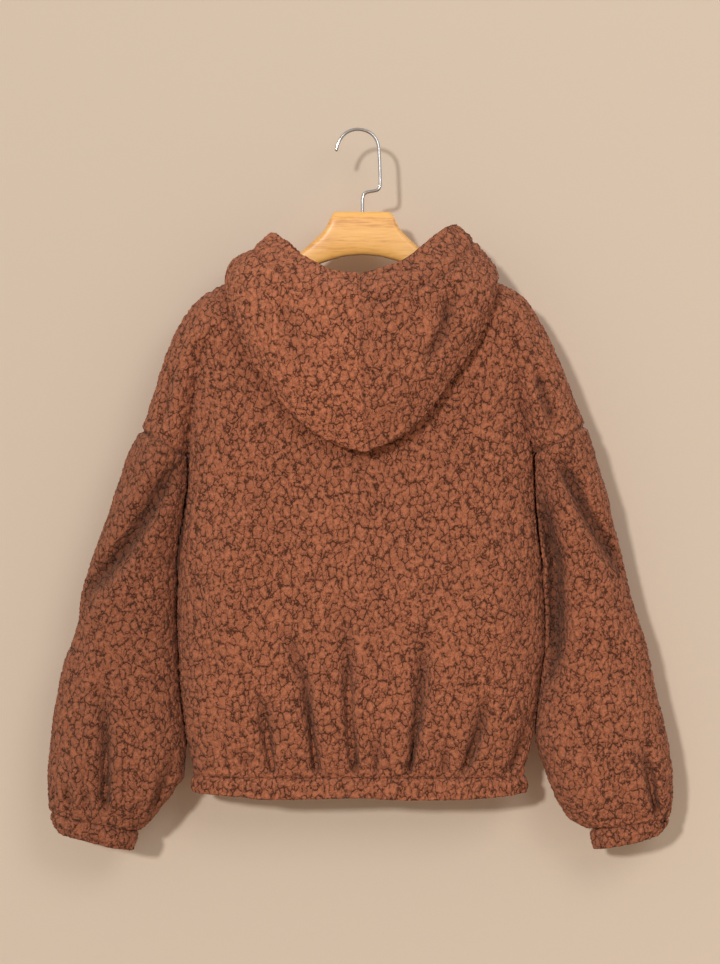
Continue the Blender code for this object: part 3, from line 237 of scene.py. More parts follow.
FOLDS = (
    Fold("torso", -1, 3.5, 7, Ends.UP, ((-130.5, -731), (-137, -704))),
    Fold("torso", -1, 7, 9, Ends.UP, ((-101.8, -733), (-113, -660), (-137, -630))),
    Fold("torso", -1, 8, 10, Ends.UP, ((-52.3, -733), (-65, -632), (-82, -577), (-88, -540))),
    Fold("torso", -1, 7, 9, Ends.UP, ((-8.6, -733), (-15.5, -672), (-17, -605), (-21, -521))),
    Fold("torso", -1, 4.5, 7, Ends.UP, ((15.5, -736), (14.4, -680))),
    Fold("torso", -1, 8, 10, Ends.UP, ((53.5, -733), (62.7, -672), (68.4, -605), (67, -540))),
    Fold("torso", -1, 4, 7, Ends.UP, ((93.7, -736), (93.7, -698))),
    Fold("torso", -1, 8, 10, Ends.UP, ((116.7, -733), (132.8, -683), (142, -628))),
    Fold("torso", -1, 6, 9, Ends.UP, ((168.5, -736), (188, -680), (196, -655))),
    Fold("torso", -1, -3, 26, Ends.BOTH, ((-160, -600), (-150, -480), (-120, -400))),
    Fold("torso", -1, -3.5, 30, Ends.BOTH, ((150, -620), (152, -500), (120, -400))),
    Fold("both", -1, 5, 9, Ends.BOTH, ((196, -268), (210, -318.6), (221, -356))),
    Fold("both", -1, 3, 9, Ends.BOTH, ((-212, -262), (-222, -310), (-228, -350))),
    Fold("sleeve", -1, 9, 15, Ends.BOTH,
         ((-204, -366), (-222, -399), (-244, -439), (-270, -480), (-307, -523), (-332, -566))),
    Fold("sleeve", -1, 8, 10, Ends.UP, ((-292.7, -784), (-292.7, -705), (-300, -600))),
    Fold("sleeve", -1, 5, 7, Ends.UP, ((-331.8, -782), (-336, -738))),
    Fold("sleeve", -1, 6, 8, Ends.UP, ((-243, -788), (-225, -742), (-211, -690))),
    Fold("sleeve", -1, 4, 7, Ends.UP, ((-312, -786), (-316, -744))),
    Fold("sleeve", -1, 9, 12, Ends.BOTH,
         ((214, -362), (237, -404), (257, -445), (280, -480), (308, -530))),
    Fold("sleeve", -1, 13, 11, Ends.BOTH,
         ((203, -400), (211, -455), (219, -491), (225, -545), (225, -600), (214, -655))),
    Fold("sleeve", -1, 9, 9, Ends.UP, ((336.4, -784), (328, -742), (316, -690))),
    Fold("sleeve", -1, 5, 7, Ends.UP, ((306.5, -795), (298, -765))),
    Fold("sleeve", -1, 4, 7, Ends.UP, ((277, -799), (268, -770))),
    Fold("torso", 1, 6, 9, Ends.UP, ((-160, -736), (-166, -668))),
    Fold("torso", 1, 7, 10, Ends.UP, ((-118, -733), (-112, -650), (-104, -580))),
    Fold("torso", 1, 5, 8, Ends.UP, ((-84, -736), (-88, -690))),
    Fold("torso", 1, 7, 9, Ends.UP, ((-41, -733), (-47, -640), (-52, -560))),
    Fold("torso", 1, 7, 10, Ends.UP, ((152, -733), (158, -660), (160, -606))),
    Fold("torso", 1, 4, 7, Ends.UP, ((121, -736), (118, -698))),
    Fold("torso", 1, 8, 10, Ends.UP, ((77, -733), (70, -650), (64, -556))),
    Fold("torso", 1, 5, 8, Ends.UP, ((36, -736), (33, -676))),
    Fold("torso", 1, 5, 16, Ends.BOTH, ((-104, -200), (-128, -262), (-130, -330))),
    Fold("torso", 1, 5, 16, Ends.BOTH, ((106, -205), (134, -270), (138, -345))),
    Fold("sleeve", 1, 10, 12, Ends.BOTH, ((-214, -372), (-236, -430), (-274, -490), (-322, -548))),
    Fold("sleeve", 1, 8, 10, Ends.UP, ((-306, -784), (-309, -700), (-300, -630))),
    Fold("sleeve", 1, 5, 8, Ends.UP, ((-268, -794), (-258, -748))),
    Fold("sleeve", 1, 4, 7, Ends.UP, ((-338, -784), (-342, -744))),
    Fold("sleeve", 1, 7, 14, Ends.BOTH, ((222, -372), (246, -428), (280, -492), (310, -540))),
    Fold("sleeve", 1, 8, 9, Ends.UP, ((322, -790), (318, -710), (308, -640))),
    Fold("sleeve", 1, 5, 8, Ends.UP, ((290, -798), (282, -750))),
)
# soft valleys on the hood's front layer
HOOD_FOLDS = (
    Fold("hood", -1, 5, 11, Ends.BOTH, ((104, -176), (92, -236), (62, -286))),
    Fold("hood", -1, 3, 12, Ends.BOTH, ((-92, -176), (-84, -226), (-52, -290))),
)

# hem band's lower edge, and the cuffs' mouths
BAND_EDGE = ((-194, -759), (-150, -762), (-96, -765), (-40, -763.5), (2, -763), (60, -766),
             (110, -765), (150, -763), (187.5, -759.6))
CUFF_MOUTH = {-1: (Place(-348, -806), Place(-264.5, -826)), 1: (Place(342, -809), Place(266, -825))}
CUFF_DEPTH_SHARE = (1.0, 0.97, 0.88)

HOOD = {
    -1: tuple(Station(*p) for p in (
        (0, (0, -51, -175), (0, -64, -268), (2.5, -80, -370), (0, -104, -288),
         (-2, -101, -203), (-2, -80, -169)),
        (18, (-29, -50.5, -174), (-33, -63, -262), (-38, -78, -355), (-38, -102, -281),
         (-31, -99, -199), (-30.5, -78, -167)),
        (33, (-53, -49, -169), (-60, -61, -248), (-74, -74, -329), (-78, -97, -262),
         (-67, -92, -190), (-53.5, -72, -156)),
        (46, (-72, -46, -163), (-84, -58, -224), (-105, -68, -290), (-112, -88, -230),
         (-95, -80, -168), (-75, -60, -142.6)),
        (58, (-85, -37, -155), (-104, -52, -200), (-130, -62, -254), (-134, -76, -203),
         (-110, -66, -154), (-89, -45, -129)),
        (72, (-94, -22, -145), (-122, -38, -176), (-147, -50, -209), (-146, -50, -172),
         (-124, -43, -142), (-98, -28, -121)),
        (90, (-98, -1, -138), (-124, -13, -152), (-154, -18, -170), (-147, -16, -151),
         (-125, -18, -138), (-104, -13, -118.5)),
        (110, (-90, 23, -150), (-96, 28, -146), (-99, 26, -139), (-96, 20, -133),
         (-91, 14, -129), (-84, 9, -127)),
        (130, (-72, 43, -176), (-73, 45, -169), (-72, 44, -161), (-69, 40, -155),
         (-65, 35, -151), (-61, 30, -149)),
        (150, (-46, 47, -199), (-46, 49, -193), (-45, 49, -186), (-43, 46, -180),
         (-41, 42, -175), (-39, 37, -171)),
        (176, (-8.4, 46, -218), (-9, 48, -214), (-10, 48.5, -210), (-10, 48, -206),
         (-10, 46.5, -202), (-10, 44.5, -198)))),
    1: tuple(Station(*p) for p in (
        (0, (0, -51, -175), (0, -64, -268), (2.5, -80, -370), (0, -104, -288),
         (-2, -101, -203), (-2, -80, -169)),
        (18, (29, -50.5, -174), (33, -63, -262), (38, -78, -353), (38, -102, -281),
         (31, -99, -199), (30, -78, -160)),
        (33, (53, -49, -169), (60, -61, -248), (75, -74, -321), (78, -96, -262),
         (60, -92, -187), (50, -72, -151)),
        (46, (72, -46, -163), (84, -58, -224), (103, -68, -281), (108, -87, -230),
         (84, -80, -174), (68, -58, -136)),
        (58, (85, -37, -155), (104, -52, -200), (129, -62, -241), (132, -75, -199),
         (105, -66, -157), (84, -43, -122)),
        (72, (94, -22, -145), (122, -38, -176), (146, -50, -204), (146, -50, -170),
         (119, -43, -141), (97, -27, -113)),
        (90, (98, -1, -138), (124, -13, -152), (153, -18, -169), (147, -16, -150),
         (128, -18, -128), (106, -13, -110.5)))),
}
# from the collar round to the zip both halves are alike
HOOD[1] += tuple(Station(s.deg, *((-x, y, z) for x, y, z in s[1:])) for s in HOOD[-1][7:])
HOOD_MARKS = ("roll", "rear", "fold", "front", "casing", "face")
CASING_MARK = 9       # where the casing's stitch line lies among a profile's marks
FACE_MARK = 10
FOLD_MARK = 6
DENT_FROM = 7.1       # the front layer's valleys lie between these places among the marks
DENT_TO = 8.95
TURN_R = 6.5
COLLAR = (88, 114)
ROLL_OVER = (7.0, 5.0)
STAND = 5.0
STAND_FADE = 60.0     # degrees from the zip over which the neck seam's stand grows
ROLL_LOW = 14.0       # drop from roll to rear at which the roll tips over fully
LAST_DEG = 180 - math.degrees(math.asin(ZIP_X / NECK_X))

BAR = tuple(BarRow(*p) for p in (
    (0, -93, -142.6, 9), (20, -93, -144.5, 9), (30, -93.2, -147, 9), (34, -95, -148, 9),
    (36.5, -99.5, -148.7, 9), (39.5, -107, -149.7, 9), (45, -115.5, -151.5, 9),
    (53, -123.5, -154.5, 9), (62.7, -132.5, -159, 9), (73, -141, -164, 9),
    (84, -150, -169.5, 9), (93, -155.5, -174.5, 9), (120, -167.4, -189, 8.5),
    (150, -178.4, -203, 8), (174, -191.4, -214, 7.5), (186, -202, -219, 6.5), (191, -208.5, -218, 4.5)))
WIRE_R = 1.9
STEM_END_Z = -103.5
HOOK = tuple(Place(*p) for p in (
    (-30, -21.8), (-28.4, -15.5), (-25.3, -9.4), (-21.4, -4.4), (-16.7, -1), (-11.4, 1.1),
    (-5.75, 1.9), (0.2, 1.3), (5.8, -0.6), (10.4, -3.4), (14.2, -7.4), (17, -12.6),
    (18.7, -20), (19.5, -31), (20.2, -48), (20.5, -59.8), (19.9, -64.4), (17.5, -67.6),
    (13, -69), (8, -69.8), (4, -71), (1.4, -73.6), (0.2, -78), (0, -84), (0, -92)))

TAPE_THICK = 1.4
TAPE_SET_IN = 1.0
TAPE_TOP_Z = -223.5
TAPE_END_Z = -758.0


# ------------------------------------------------------------ small maths
def smooth(xs: Sequence[float], ys: Sequence[float], q: Array | Sequence[float]) -> Array:
    """Reads a curve through a table's points that never overshoots them.

    Args:
        xs: the table's places, rising or falling.
        ys: the table's values.
        q: where to read.

    Returns:
        The values at q.
    """
    xs, ys, q = (np.asarray(a, float) for a in (xs, ys, q))
    if xs[0] > xs[-1]:
        xs, ys = xs[::-1], ys[::-1]
    step = np.diff(xs)
    rise = np.diff(ys) / step
    slope = np.zeros_like(ys)
    same = rise[:-1] * rise[1:] > 0
    mean = 2 * rise[:-1] * rise[1:] / np.where(same, rise[:-1] + rise[1:], 1.0)
    slope[1:-1] = np.where(same, mean, 0.0)
    slope[0], slope[-1] = rise[0], rise[-1]
    q = np.clip(q, xs[0], xs[-1])
    i = np.clip(np.searchsorted(xs, q, side="right") - 1, 0, len(step) - 1)
    t = (q - xs[i]) / step[i]
    low = ys[i] * (1 + 2 * t) * (1 - t) ** 2 + slope[i] * step[i] * t * (1 - t) ** 2
    high = ys[i + 1] * t * t * (3 - 2 * t) + slope[i + 1] * step[i] * t * t * (t - 1)
    return low + high


def arch(t: Array) -> Array:
    """A quarter circle: 0 at 0 with an upright start, 1 from 1 on."""
    t = np.clip(t, 0.0, 1.0)
    return np.sqrt(np.maximum(0.0, 1 - (1 - t) ** 2))


def ease(t: Array) -> Array:
    """A soft step from 0 to 1."""
    t = np.clip(t, 0.0, 1.0)
    return t * t * (3 - 2 * t)


def unit(v: Array) -> Array:
    """Vectors of length 1 along the last axis."""
    return v / np.maximum(np.linalg.norm(v, axis=-1, keepdims=True), 1e-12)


def crowded_ends(count: int) -> Array:
    """Shares from 0 to 1 that lie closer together at both ends."""
    return (1 - np.cos(np.linspace(0, math.pi, count + 1))) / 2


def outline_at(line: Sequence[Place], at: Array) -> Array:
    """x and z on a smooth curve through a line's points, at places counted in points."""
    steps = np.arange(len(line))
    return np.stack([smooth(steps, [p.x for p in line], at),
                     smooth(steps, [p.z for p in line], at)], axis=-1)


def fine_line(line: Sequence[Place], parts: int = 4) -> Array:
    """The outline again, with points on a smooth curve between its own."""
    return outline_at(line, np.linspace(0, len(line) - 1, (len(line) - 1) * parts + 1))


def lengths(line: Array) -> Array:
    """Distance along a line of points, at each of them."""
    return np.concatenate([[0], np.cumsum(np.linalg.norm(np.diff(line, axis=0), axis=1))])


def curve(points: Array, at: Array) -> Array:
    """Reads a smooth curve through points.

    Args:
        points: the curve's points, one a row.
        at: where to read, counted in points from the first.

    Returns:
        A point for each place.
    """
    ends = np.concatenate([[2 * points[0] - points[1]], points, [2 * points[-1] - points[-2]]])
    i = np.minimum(at.astype(int), len(points) - 2)
    t = (at - i)[:, None]
    a, b, c, d = (ends[i + k] for k in range(4))
    return 0.5 * (2 * b + (c - a) * t + (2 * a - 5 * b + 4 * c - d) * t * t
                  + (3 * b - a - 3 * c + d) * t ** 3)


def line_distance(x: Array, z: Array, line: Array) -> tuple[Array, Array]:
    """Distance of each point to a line of points, and how far along it, 0 to 1."""
    p = np.stack([x, z], axis=-1)
    best, along = np.full(x.shape, 1e9), np.zeros(x.shape)
    long = lengths(line)
    for a, b, at in zip(line[:-1], line[1:], range(len(line) - 1)):
        d = b - a
        t = np.clip(((p - a) @ d) / (d @ d), 0, 1)
        far = np.linalg.norm(p - a - t[..., None] * d, axis=-1)
        nearer = far < best
        best = np.where(nearer, far, best)
        along = np.where(nearer, (long[at] + t * (long[at + 1] - long[at])) / long[-1], along)
    return best, along


def scatter(cell: Array, seed: int) -> Array:
    """Three shares from 0 to 1 for each cell of a grid, the same on every run."""
    mask = 0xFFFFFFFF
    h = (cell @ np.array([73856093, 19349663, 83492791]) + seed * 40503) & mask
    out = []
    for _ in range(3):
        h = ((h ^ (h >> 16)) * 0x45D9F3B) & mask
        h = ((h ^ (h >> 13)) * 0x2C1B3C6D) & mask
        out.append(h / mask)
    return np.stack(out, axis=-1)


def cells(points: Array, size: float, seed: int) -> Array:
    """Distances to the nearest of scattered points.

    Args:
        points: places in millimetres, one a row.
        size: the mean distance between the scattered points, in millimetres.
        seed: which scatter to use.

    Returns:
        The distances as shares of the size.
    """
    q = points / size
    cell = np.floor(q).astype(np.int64)
    nearest = np.full(len(q), FAR_CELLS)
    for offset in itertools.product((-1, 0, 1), repeat=3):
        near = cell + np.array(offset)
        nearest = np.minimum(nearest, np.linalg.norm(near + scatter(near, seed) - q, axis=1))
    return nearest


FINE_OUTLINE = {side: fine_line(OUTLINE[side]) for side in Side}


# ------------------------------------------------------------ the cloth's surface
class Form:
    """The garment's surface as formulas over the outline's plane."""

    @staticmethod
    def side_x(side: int, z: Array, which: str) -> Array:
        """x of the body's side, of the sleeve beside it, or the fold's lift, at a height."""
        rows = SIDES[side]
        return smooth([r.z for r in rows], [getattr(r, which) for r in rows], z)

    @staticmethod
    def outline_x(side: int, z: Array) -> Array:
        """x of the outline at a height below the shoulder's corner."""
        lower = [p for p in OUTLINE[side] if p.z <= WING_TOP[side].z]
        return smooth([p.z for p in lower], [p.x for p in lower], z)

    @staticmethod
    def depth(z: Array, face: int) -> Array:
        """Half depth of the body at a height."""
        which = "back" if face < 0 else "front"
        return smooth([r.z for r in DEPTHS], [getattr(r, which) for r in DEPTHS], z)

    @classmethod
    def torso_y(cls, x: Array, z: Array, face: int) -> Array:
        """Depth of body and shoulder, without folds."""
        x, z = np.asarray(x, float), np.asarray(z, float)
        y = cls.depth(z, face)
        for side in Side:
            y = y * arch(line_distance(x, z, FINE_OUTLINE[side])[0] / RIDGE_R)
            inside = side * (cls.side_x(side, z, "body") - x)
            y = y * arch(np.maximum(inside, 0) / SIDE_R + cls.side_x(side, z, "lift"))
        return face * y

    @classmethod
    def limb_y(cls, x: Array, z: Array, face: int, side: int) -> Array:
        """Depth of the shoulder beyond the side fold and of the sleeve, without folds."""
        x, z = np.asarray(x, float), np.asarray(z, float)
        y = cls.depth(z, face) * smooth([r[0] for r in ARM_DEPTH], [r[1] for r in ARM_DEPTH], z)
        y = y * arch(line_distance(x, z, FINE_OUTLINE[side])[0] / RIDGE_R)
        beyond = side * (x - cls.side_x(side, z, "sleeve"))
        return face * y * arch(np.maximum(beyond, 0) / ARM_R + cls.side_x(side, z, "lift"))

    @staticmethod
    def trough(d: Array) -> Array:
        """Section of a fold: a soft trough with a low ridge on each side."""
        return TROUGH * np.exp(-d * d) - LIP * np.exp(-((d / LIP_WIDE) ** 2))

    @classmethod
    def folds_in(cls, x: Array, z: Array, face: int, on: str,
                 folds: Sequence[Fold] = FOLDS) -> Array:
        """How far the folds set the cloth in at each point.

        Args:
            x: places across.
            z: heights.
            face: the garment's face.
            on: the part that the folds are pressed into.
            folds: the table of folds.

        Returns:
            Depths in millimetres; the low ridges beside a fold come out negative.
        """
        total = np.zeros(np.shape(x))
        for f in folds:
            if f.face != face or f.on not in (on, "both"):
                continue
            d, along = line_distance(np.asarray(x, float), np.asarray(z, float),
                                     np.array(f.points, float))
            if f.ends is Ends.UP:
                fade = ease((1 - along) / UP_FADE) ** UP_HOLD
                wide = NARROW * (UP_WIDE[0] + UP_WIDE[1] * along)
            else:
                fade, wide = ease(4 * along) * ease(3 * (1 - along)), NARROW
            if f.on == "torso":
                fade = fade * ease((np.asarray(z) - HEM_Z) / HEM_FADE)
            total = total + DEEPEN * f.depth * fade * cls.trough(d / (wide * f.width))
        return total

    @staticmethod
    def neck_place(side: int, deg: float) -> tuple[float, float]:
        """x and z of the neck seam at an angle round the neck."""
        x = side * NECK_X * math.sin(math.radians(deg))
        low = NECK_BACK_Z if deg <= 90 else NECK_FRONT_Z
        return x, low + (NECK_RISE_Z - low) * (abs(x) / NECK_X) ** NECK_POWER

    @classmethod
    def neck_point(cls, side: int, deg: float) -> Array:
        """The neck seam's point at an angle."""
        x, z = cls.neck_place(side, deg)
        y = 0.0 if deg == 90 else float(cls.torso_y(x, z, -1 if deg < 90 else 1))
        return np.array([x, y, z])


def coons(bottom: Array, top: Array, left: Array, right: Array, u: Array, v: Array) -> Array:
    """A grid between four edges; rows go from bottom to top, columns from left to right."""
    u, v = u[None, :, None], v[:, None, None]
    ruled = (1 - u) * left[:, None] + u * right[:, None]
    flat_b = (1 - u) * bottom[0] + u * bottom[-1]
    flat_t = (1 - u) * top[0] + u * top[-1]
    return ruled + (1 - v) * (bottom[None] - flat_b) + v * (top[None] - flat_t)


def lay(grid: Array, y: Array, face: int, dent: Array) -> Array:
    """Points of the cloth, set in by its folds.

    Args:
        grid: x and z of each point.
        y: their depths before folding.
        face: the garment's face.
        dent: how far the folds set each point in.

    Returns:
        x, y, z and the fold's depth of each point.
    """
    return np.stack([grid[..., 0], y - face * dent, grid[..., 1], dent], axis=-1)


# ------------------------------------------------------------ pile and shells
@dataclass(frozen=True)
class Pile:
    """The sherpa's curly pile: sizes in millimetres.

    Attributes:
        clump: mean distance between clumps.
        curl: mean distance between the small curls on them.
        tall: how much longer than wide a clump is.
        lift: height from the dips between clumps to their tops.
        sink: how far the dips lie under the cloth's level.
        seam_reach: how far from a seam the pile is pressed down.
        seam_drop: how far a seam lies under the cloth's level.
        bend: how far the waves that bend the clumps reach.
        hollow: how deep the dips between clumps are, as a share of their height.
        clump_share: the clumps' part of the height.
        curl_share: the curls' part of it.
        pressed: how much of its height the pile loses on a seam.
        seam_dark: how dark the painted shade along a full seam is, as a share of a full crease.
    """

    clump: float = 7.0
    curl: float = 3.7
    tall: float = 1.35
    lift: float = 3.6
    sink: float = 2.0
    seam_reach: float = 5.0
    seam_drop: float = 1.9
    bend: float = 1.4
    hollow: float = 0.95
    clump_share: float = 0.6
    curl_share: float = 0.55
    pressed: float = 0.7
    seam_dark: float = 0.8

    def height(self, points: Array) -> Array:
        """The pile's height, 0 between clumps to 1 on their tops.

        Args:
            points: places in millimetres, one a row.

        Returns:
            A height for each.
        """
        x, _, z = points.T
        sideways = np.sin(0.31 * z + 1.7 * np.sin(0.13 * x)) + 0.6 * np.sin(0.83 * z + 0.5 * x)
        bend = np.stack([sideways, np.sin(0.27 * x + 0.21 * z),
                         np.sin(0.29 * x + 1.3 * np.sin(0.17 * z))], axis=-1)
        warped = (points + self.bend * bend) * (1, 1, 1 / self.tall)
        clump = 1.0 - self.hollow * cells(warped, self.clump, CLUMP_SEED) ** 2
        curl = 1.0 - cells(points, self.curl, CURL_SEED)
        return np.clip(self.clump_share * clump + self.curl_share * curl, 0.0, 1.0)


PILE = Pile()
CLUMP_SEED = 11
CURL_SEED = 23
FAR_CELLS = 9.0       # farther than any scattered point
SLACK = 1.5           # height of the broad swells
# how firmly a seam presses the pile down, where it is less than wholly
BAND_SEAM = 0.45
CENTRE_SEAM = 0.55
CASING_SEAM = 0.85
FULL_CREASE = 14.0    # depth of fold whose painted shade is fullest
# point layers read by the sherpa's material: the pile's height, the painted shade of creases and seams,
# and each piece's painted light or shade
LAYERS = ("pile", "crease", "painted_light")
INNER_PILE = 0.5      # the pile's height on the inner skin
WELD = 1e-7
# painted light and shade: how much lighter or darker each piece is coloured, standing in for how the
# light falls on it
PAINTED_PIECE_LIGHT = {"cloth_hood_left": 1.22, "cloth_hood_right": 1.06, "cloth_back": 1.05,
       "cloth_hem_band": 1.07, "cloth_sleeve_left": 0.88, "cloth_cuff_left": 0.88}


def slack(points: Array) -> Array:
    """Broad, soft swells of cloth that hangs loosely, from -1 to 1."""
    x, _, z = points.T
    across = np.sin(0.055 * x + 1.7 * np.sin(0.021 * z))
    return across * np.sin(0.017 * z + 1.1 * np.sin(0.03 * x) + 0.8)


def add_grid(bm: bmesh.types.BMesh, points: Array, rows: int,
             cols: int) -> list[bmesh.types.BMVert]:
    """Adds a grid of faces on given points, row by row, and returns its vertices."""
    made = bmesh.ops.create_grid(bm, x_segments=cols - 1, y_segments=rows - 1, size=1)["verts"]
    for vert, p in zip(made, points):
        vert.co = p
    return made


def stand_for(thing: bpy.types.Object, node: str) -> None:
    """Lets a piece ride on the jacket's body in place of a CAD node, whose own part is hidden."""
    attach(thing, "jacket")
    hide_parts(node)


class ClothPiece:
    """One cut piece: blocks of its outer surface become a closed, thin shell with pile."""

    COARSE = 3          # the inner skin has one point for this many of the outer skin's

    def __init__(self, name: str, node: str, out: int, wall: float = WALL) -> None:
        """Starts an empty piece.

        Args:
            name: the piece's name.
            node: the CAD node that it stands for.
            out: 1 where columns then rows turn outwards by the right hand, else -1.
            wall: thickness of the cloth with its pile, in millimetres.
        """
        self.name, self.node, self.out, self.wall = name, node, out, wall
        self.blocks: list[Array] = []
        self.creases: list[Array] = []
        self.sewn: list[tuple[Array, float]] = []

    def add(self, points: Array) -> None:
        """Adds a block of the outer surface.

        Args:
            points: rows by columns by three, or by four with the depth of folds at each point.
        """
        rows, cols, kinds = points.shape
        self.blocks.append(points[..., :3])
        depth = points[..., 3].ravel() if kinds > 3 else np.zeros(rows * cols)
        # the folds' depth, kept as the painted shade that darkens the colour in creases
        self.creases.append(np.clip(depth / FULL_CREASE, 0, 1))

    def sew(self, line: Array, strength: float = 1.0) -> None:
        """Presses the pile down along a line of points, wholly where the strength is 1."""
        self.sewn.append((line[:, :3], strength))

    def make(self, material: bpy.types.Material) -> bpy.types.Object:
        """Builds the shell.

        Args:
            material: the cloth's material.

        Returns:
            The finished object, riding on the jacket's body.
        """
        sizes = [b.shape[:2] for b in self.blocks]
        starts = np.cumsum([0] + [r * c for r, c in sizes])
        flat = np.concatenate([b.reshape(-1, 3) for b in self.blocks])
        raw = np.concatenate([self._normals(b) for b in self.blocks])
        _, ids = np.unique(np.round(flat, 3), axis=0, return_inverse=True)
        ids = ids.ravel()
        total = np.zeros((ids.max() + 1, 3))
        np.add.at(total, ids, raw)
        normal = unit(total)[ids]
        tall = PILE.height(flat)
        press = self._press(flat)
        # painted shade: darker colour in fold creases and along seams where the pile is pressed down
        crease = np.maximum(np.concatenate(self.creases), PILE.seam_dark * press ** 3)
        rise = PILE.lift * tall * (1 - PILE.pressed * press) - PILE.sink - PILE.seam_drop * press
        rise += SLACK * slack(flat) * (1 - press)
        outer = (flat + normal * rise[:, None] + (CENTRE_X, 0, 0)) * MM
        inner = (flat - normal * self.wall + (CENTRE_X, 0, 0)) * MM
        bm = bmesh.new()
        layers = [bm.verts.layers.float.new(name) for name in LAYERS]
        # each piece's painted light or shade, a brightness factor stored on every point
        painted_light, skins = PAINTED_PIECE_LIGHT.get(self.name, 1.0), []
        for start, (rows, cols) in zip(starts, sizes):
            part = slice(start, start + rows * cols)
            fine = self._grid(bm, outer[part], rows, cols, False)
            values = np.stack([tall[part], crease[part]], axis=-1)
            for vert, (pile, dark) in zip(itertools.chain(*fine), values):
                vert[layers[0]], vert[layers[1]], vert[layers[2]] = pile, dark, painted_light
            k = self.COARSE
            under = inner[part].reshape(rows, cols, 3)[::k, ::k]
            coarse = self._grid(bm, under.reshape(-1, 3), *under.shape[:2], True)
            for vert in itertools.chain(*coarse):
                vert[layers[0]], vert[layers[2]] = INNER_PILE, painted_light
            skins.append((fine, coarse, ids[part].reshape(rows, cols)[::k, ::k]))
        self._rims(bm, skins)
        bmesh.ops.remove_doubles(bm, verts=bm.verts, dist=WELD)
        if self.out < 0:
            bmesh.ops.reverse_faces(bm, faces=bm.faces)
        bmesh.ops.triangulate(bm, faces=bm.faces, quad_method="SHORT_EDGE")
        thing = new_object(self.name, bm, material)
        stand_for(thing, self.node)
        area = sum(f.area for f in thing.data.polygons) / 2
        plain = sum(self._area(b) for b in self.blocks) * MM * MM
        LOG.info("%s: %d faces, %.4f m2 of cloth, %.4f without its pile", self.name,
                 len(thing.data.polygons), area, plain)
        return thing

    @staticmethod
    def _area(block: Array) -> float:
        """Area of a block's quads, in square millimetres."""
        one, two = block[1:, 1:] - block[:-1, :-1], block[1:, :-1] - block[:-1, 1:]
        return float(np.linalg.norm(np.cross(one, two), axis=-1).sum() / 2)

    def _normals(self, block: Array) -> Array:
        """Outward directions of a block's points, from its rows and columns."""
        across, up = np.gradient(block, axis=1), np.gradient(block, axis=0)
        return (self.out * unit(np.cross(across, up))).reshape(-1, 3)

    def _press(self, flat: Array) -> Array:
        """How far the pile is pressed down at each point, 1 on a full seam."""
        press = np.zeros(len(flat))
        for line, strength in self.sewn:
            tree = KDTree(len(line))
            for i, p in enumerate(line):
                tree.insert(p, i)
            tree.balance()
            low, high = line.min(axis=0) - PILE.seam_reach, line.max(axis=0) + PILE.seam_reach
            for i in np.flatnonzero(((flat > low) & (flat < high)).all(axis=1)):
                near = strength * (1 - ease(tree.find(flat[i])[2] / PILE.seam_reach))
                press[i] = max(press[i], near)
        return press

    @staticmethod
    def _grid(bm: bmesh.types.BMesh, points: Array, rows: int, cols: int,
              turned: bool) -> list[list[bmesh.types.BMVert]]:
        """Adds a grid of faces on given points, and returns its vertices by row."""
        before = len(bm.faces)
        made = add_grid(bm, points, rows, cols)
        if turned:
            bm.faces.ensure_lookup_table()
            bmesh.ops.reverse_faces(bm, faces=bm.faces[before:])
        return [made[r * cols:(r + 1) * cols] for r in range(rows)]

    def _rims(self, bm: bmesh.types.BMesh, skins: list) -> None:
        """Closes the free edges between the outer and the inner skin."""
        borders = []
        for fine, coarse, ids in skins:
            rows, cols = ids.shape
            ring = [(0, c) for c in range(cols)] + [(r, cols - 1) for r in range(1, rows)]
            ring += [(rows - 1, c) for c in range(cols - 2, -1, -1)]
            ring += [(r, 0) for r in range(rows - 2, -1, -1)]
            borders += [(fine, coarse, ids, a, b) for a, b in zip(ring[:-1], ring[1:])]
        taken = {(ids[a], ids[b]) for _, _, ids, a, b in borders}
        k = self.COARSE
        for fine, coarse, ids, a, b in borders:
            if (ids[b], ids[a]) in taken or ids[a] == ids[b]:
                continue
            steps = [(a[0] * k + (b[0] - a[0]) * s, a[1] * k + (b[1] - a[1]) * s)
                     for s in range(k, -1, -1)]
            chain = [fine[r][c] for r, c in steps]
            bm.faces.new(chain + [coarse[a[0]][a[1]], coarse[b[0]][b[1]]])


def new_object(name: str, bm: bmesh.types.BMesh, material: bpy.types.Material,
               rounded: bool = True) -> bpy.types.Object:
    """Turns a bmesh into a linked object.

    Args:
        name: the object's name.
        bm: the mesh, which is freed.
        material: its material.
        rounded: whether its faces are shaded smooth.

    Returns:
        The object, at the origin.
    """
    mesh = bpy.data.meshes.new(name)
    bm.to_mesh(mesh)
    bm.free()
    mesh.materials.append(material)
    mesh.polygons.foreach_set("use_smooth", [rounded] * len(mesh.polygons))
    thing = bpy.data.objects.new(name, mesh)
    bpy.context.scene.collection.objects.link(thing)
    return thing


def tube(name: str, rings: Array, material: bpy.types.Material) -> bpy.types.Object:
    """A closed body through rings of points in millimetres, its ends filled.

    Args:
        name: the object's name.
        rings: stations by points by three; each ring is open and closed here.
        material: its material.

    Returns:
        The object.
    """
    rings = np.concatenate([rings, rings[:, :1]], axis=1)
    bm = bmesh.new()
    add_grid(bm, (rings.reshape(-1, 3) + (CENTRE_X, 0, 0)) * MM, *rings.shape[:2])
    bmesh.ops.remove_doubles(bm, verts=bm.verts, dist=WELD)
    bmesh.ops.holes_fill(bm, edges=[e for e in bm.edges if e.is_boundary], sides=0)
    bmesh.ops.recalc_face_normals(bm, faces=bm.faces)
    return new_object(name, bm, material)


# ------------------------------------------------------------ body
@dataclass(frozen=True)
class BodyGrid:
    """How finely the body is drawn; every number is a multiple of the inner skin's step."""

    back_columns: int = 204
    front_columns: int = 96
    low_rows: int = 198
    top_rows: int = 108
    wing_columns: int = 72


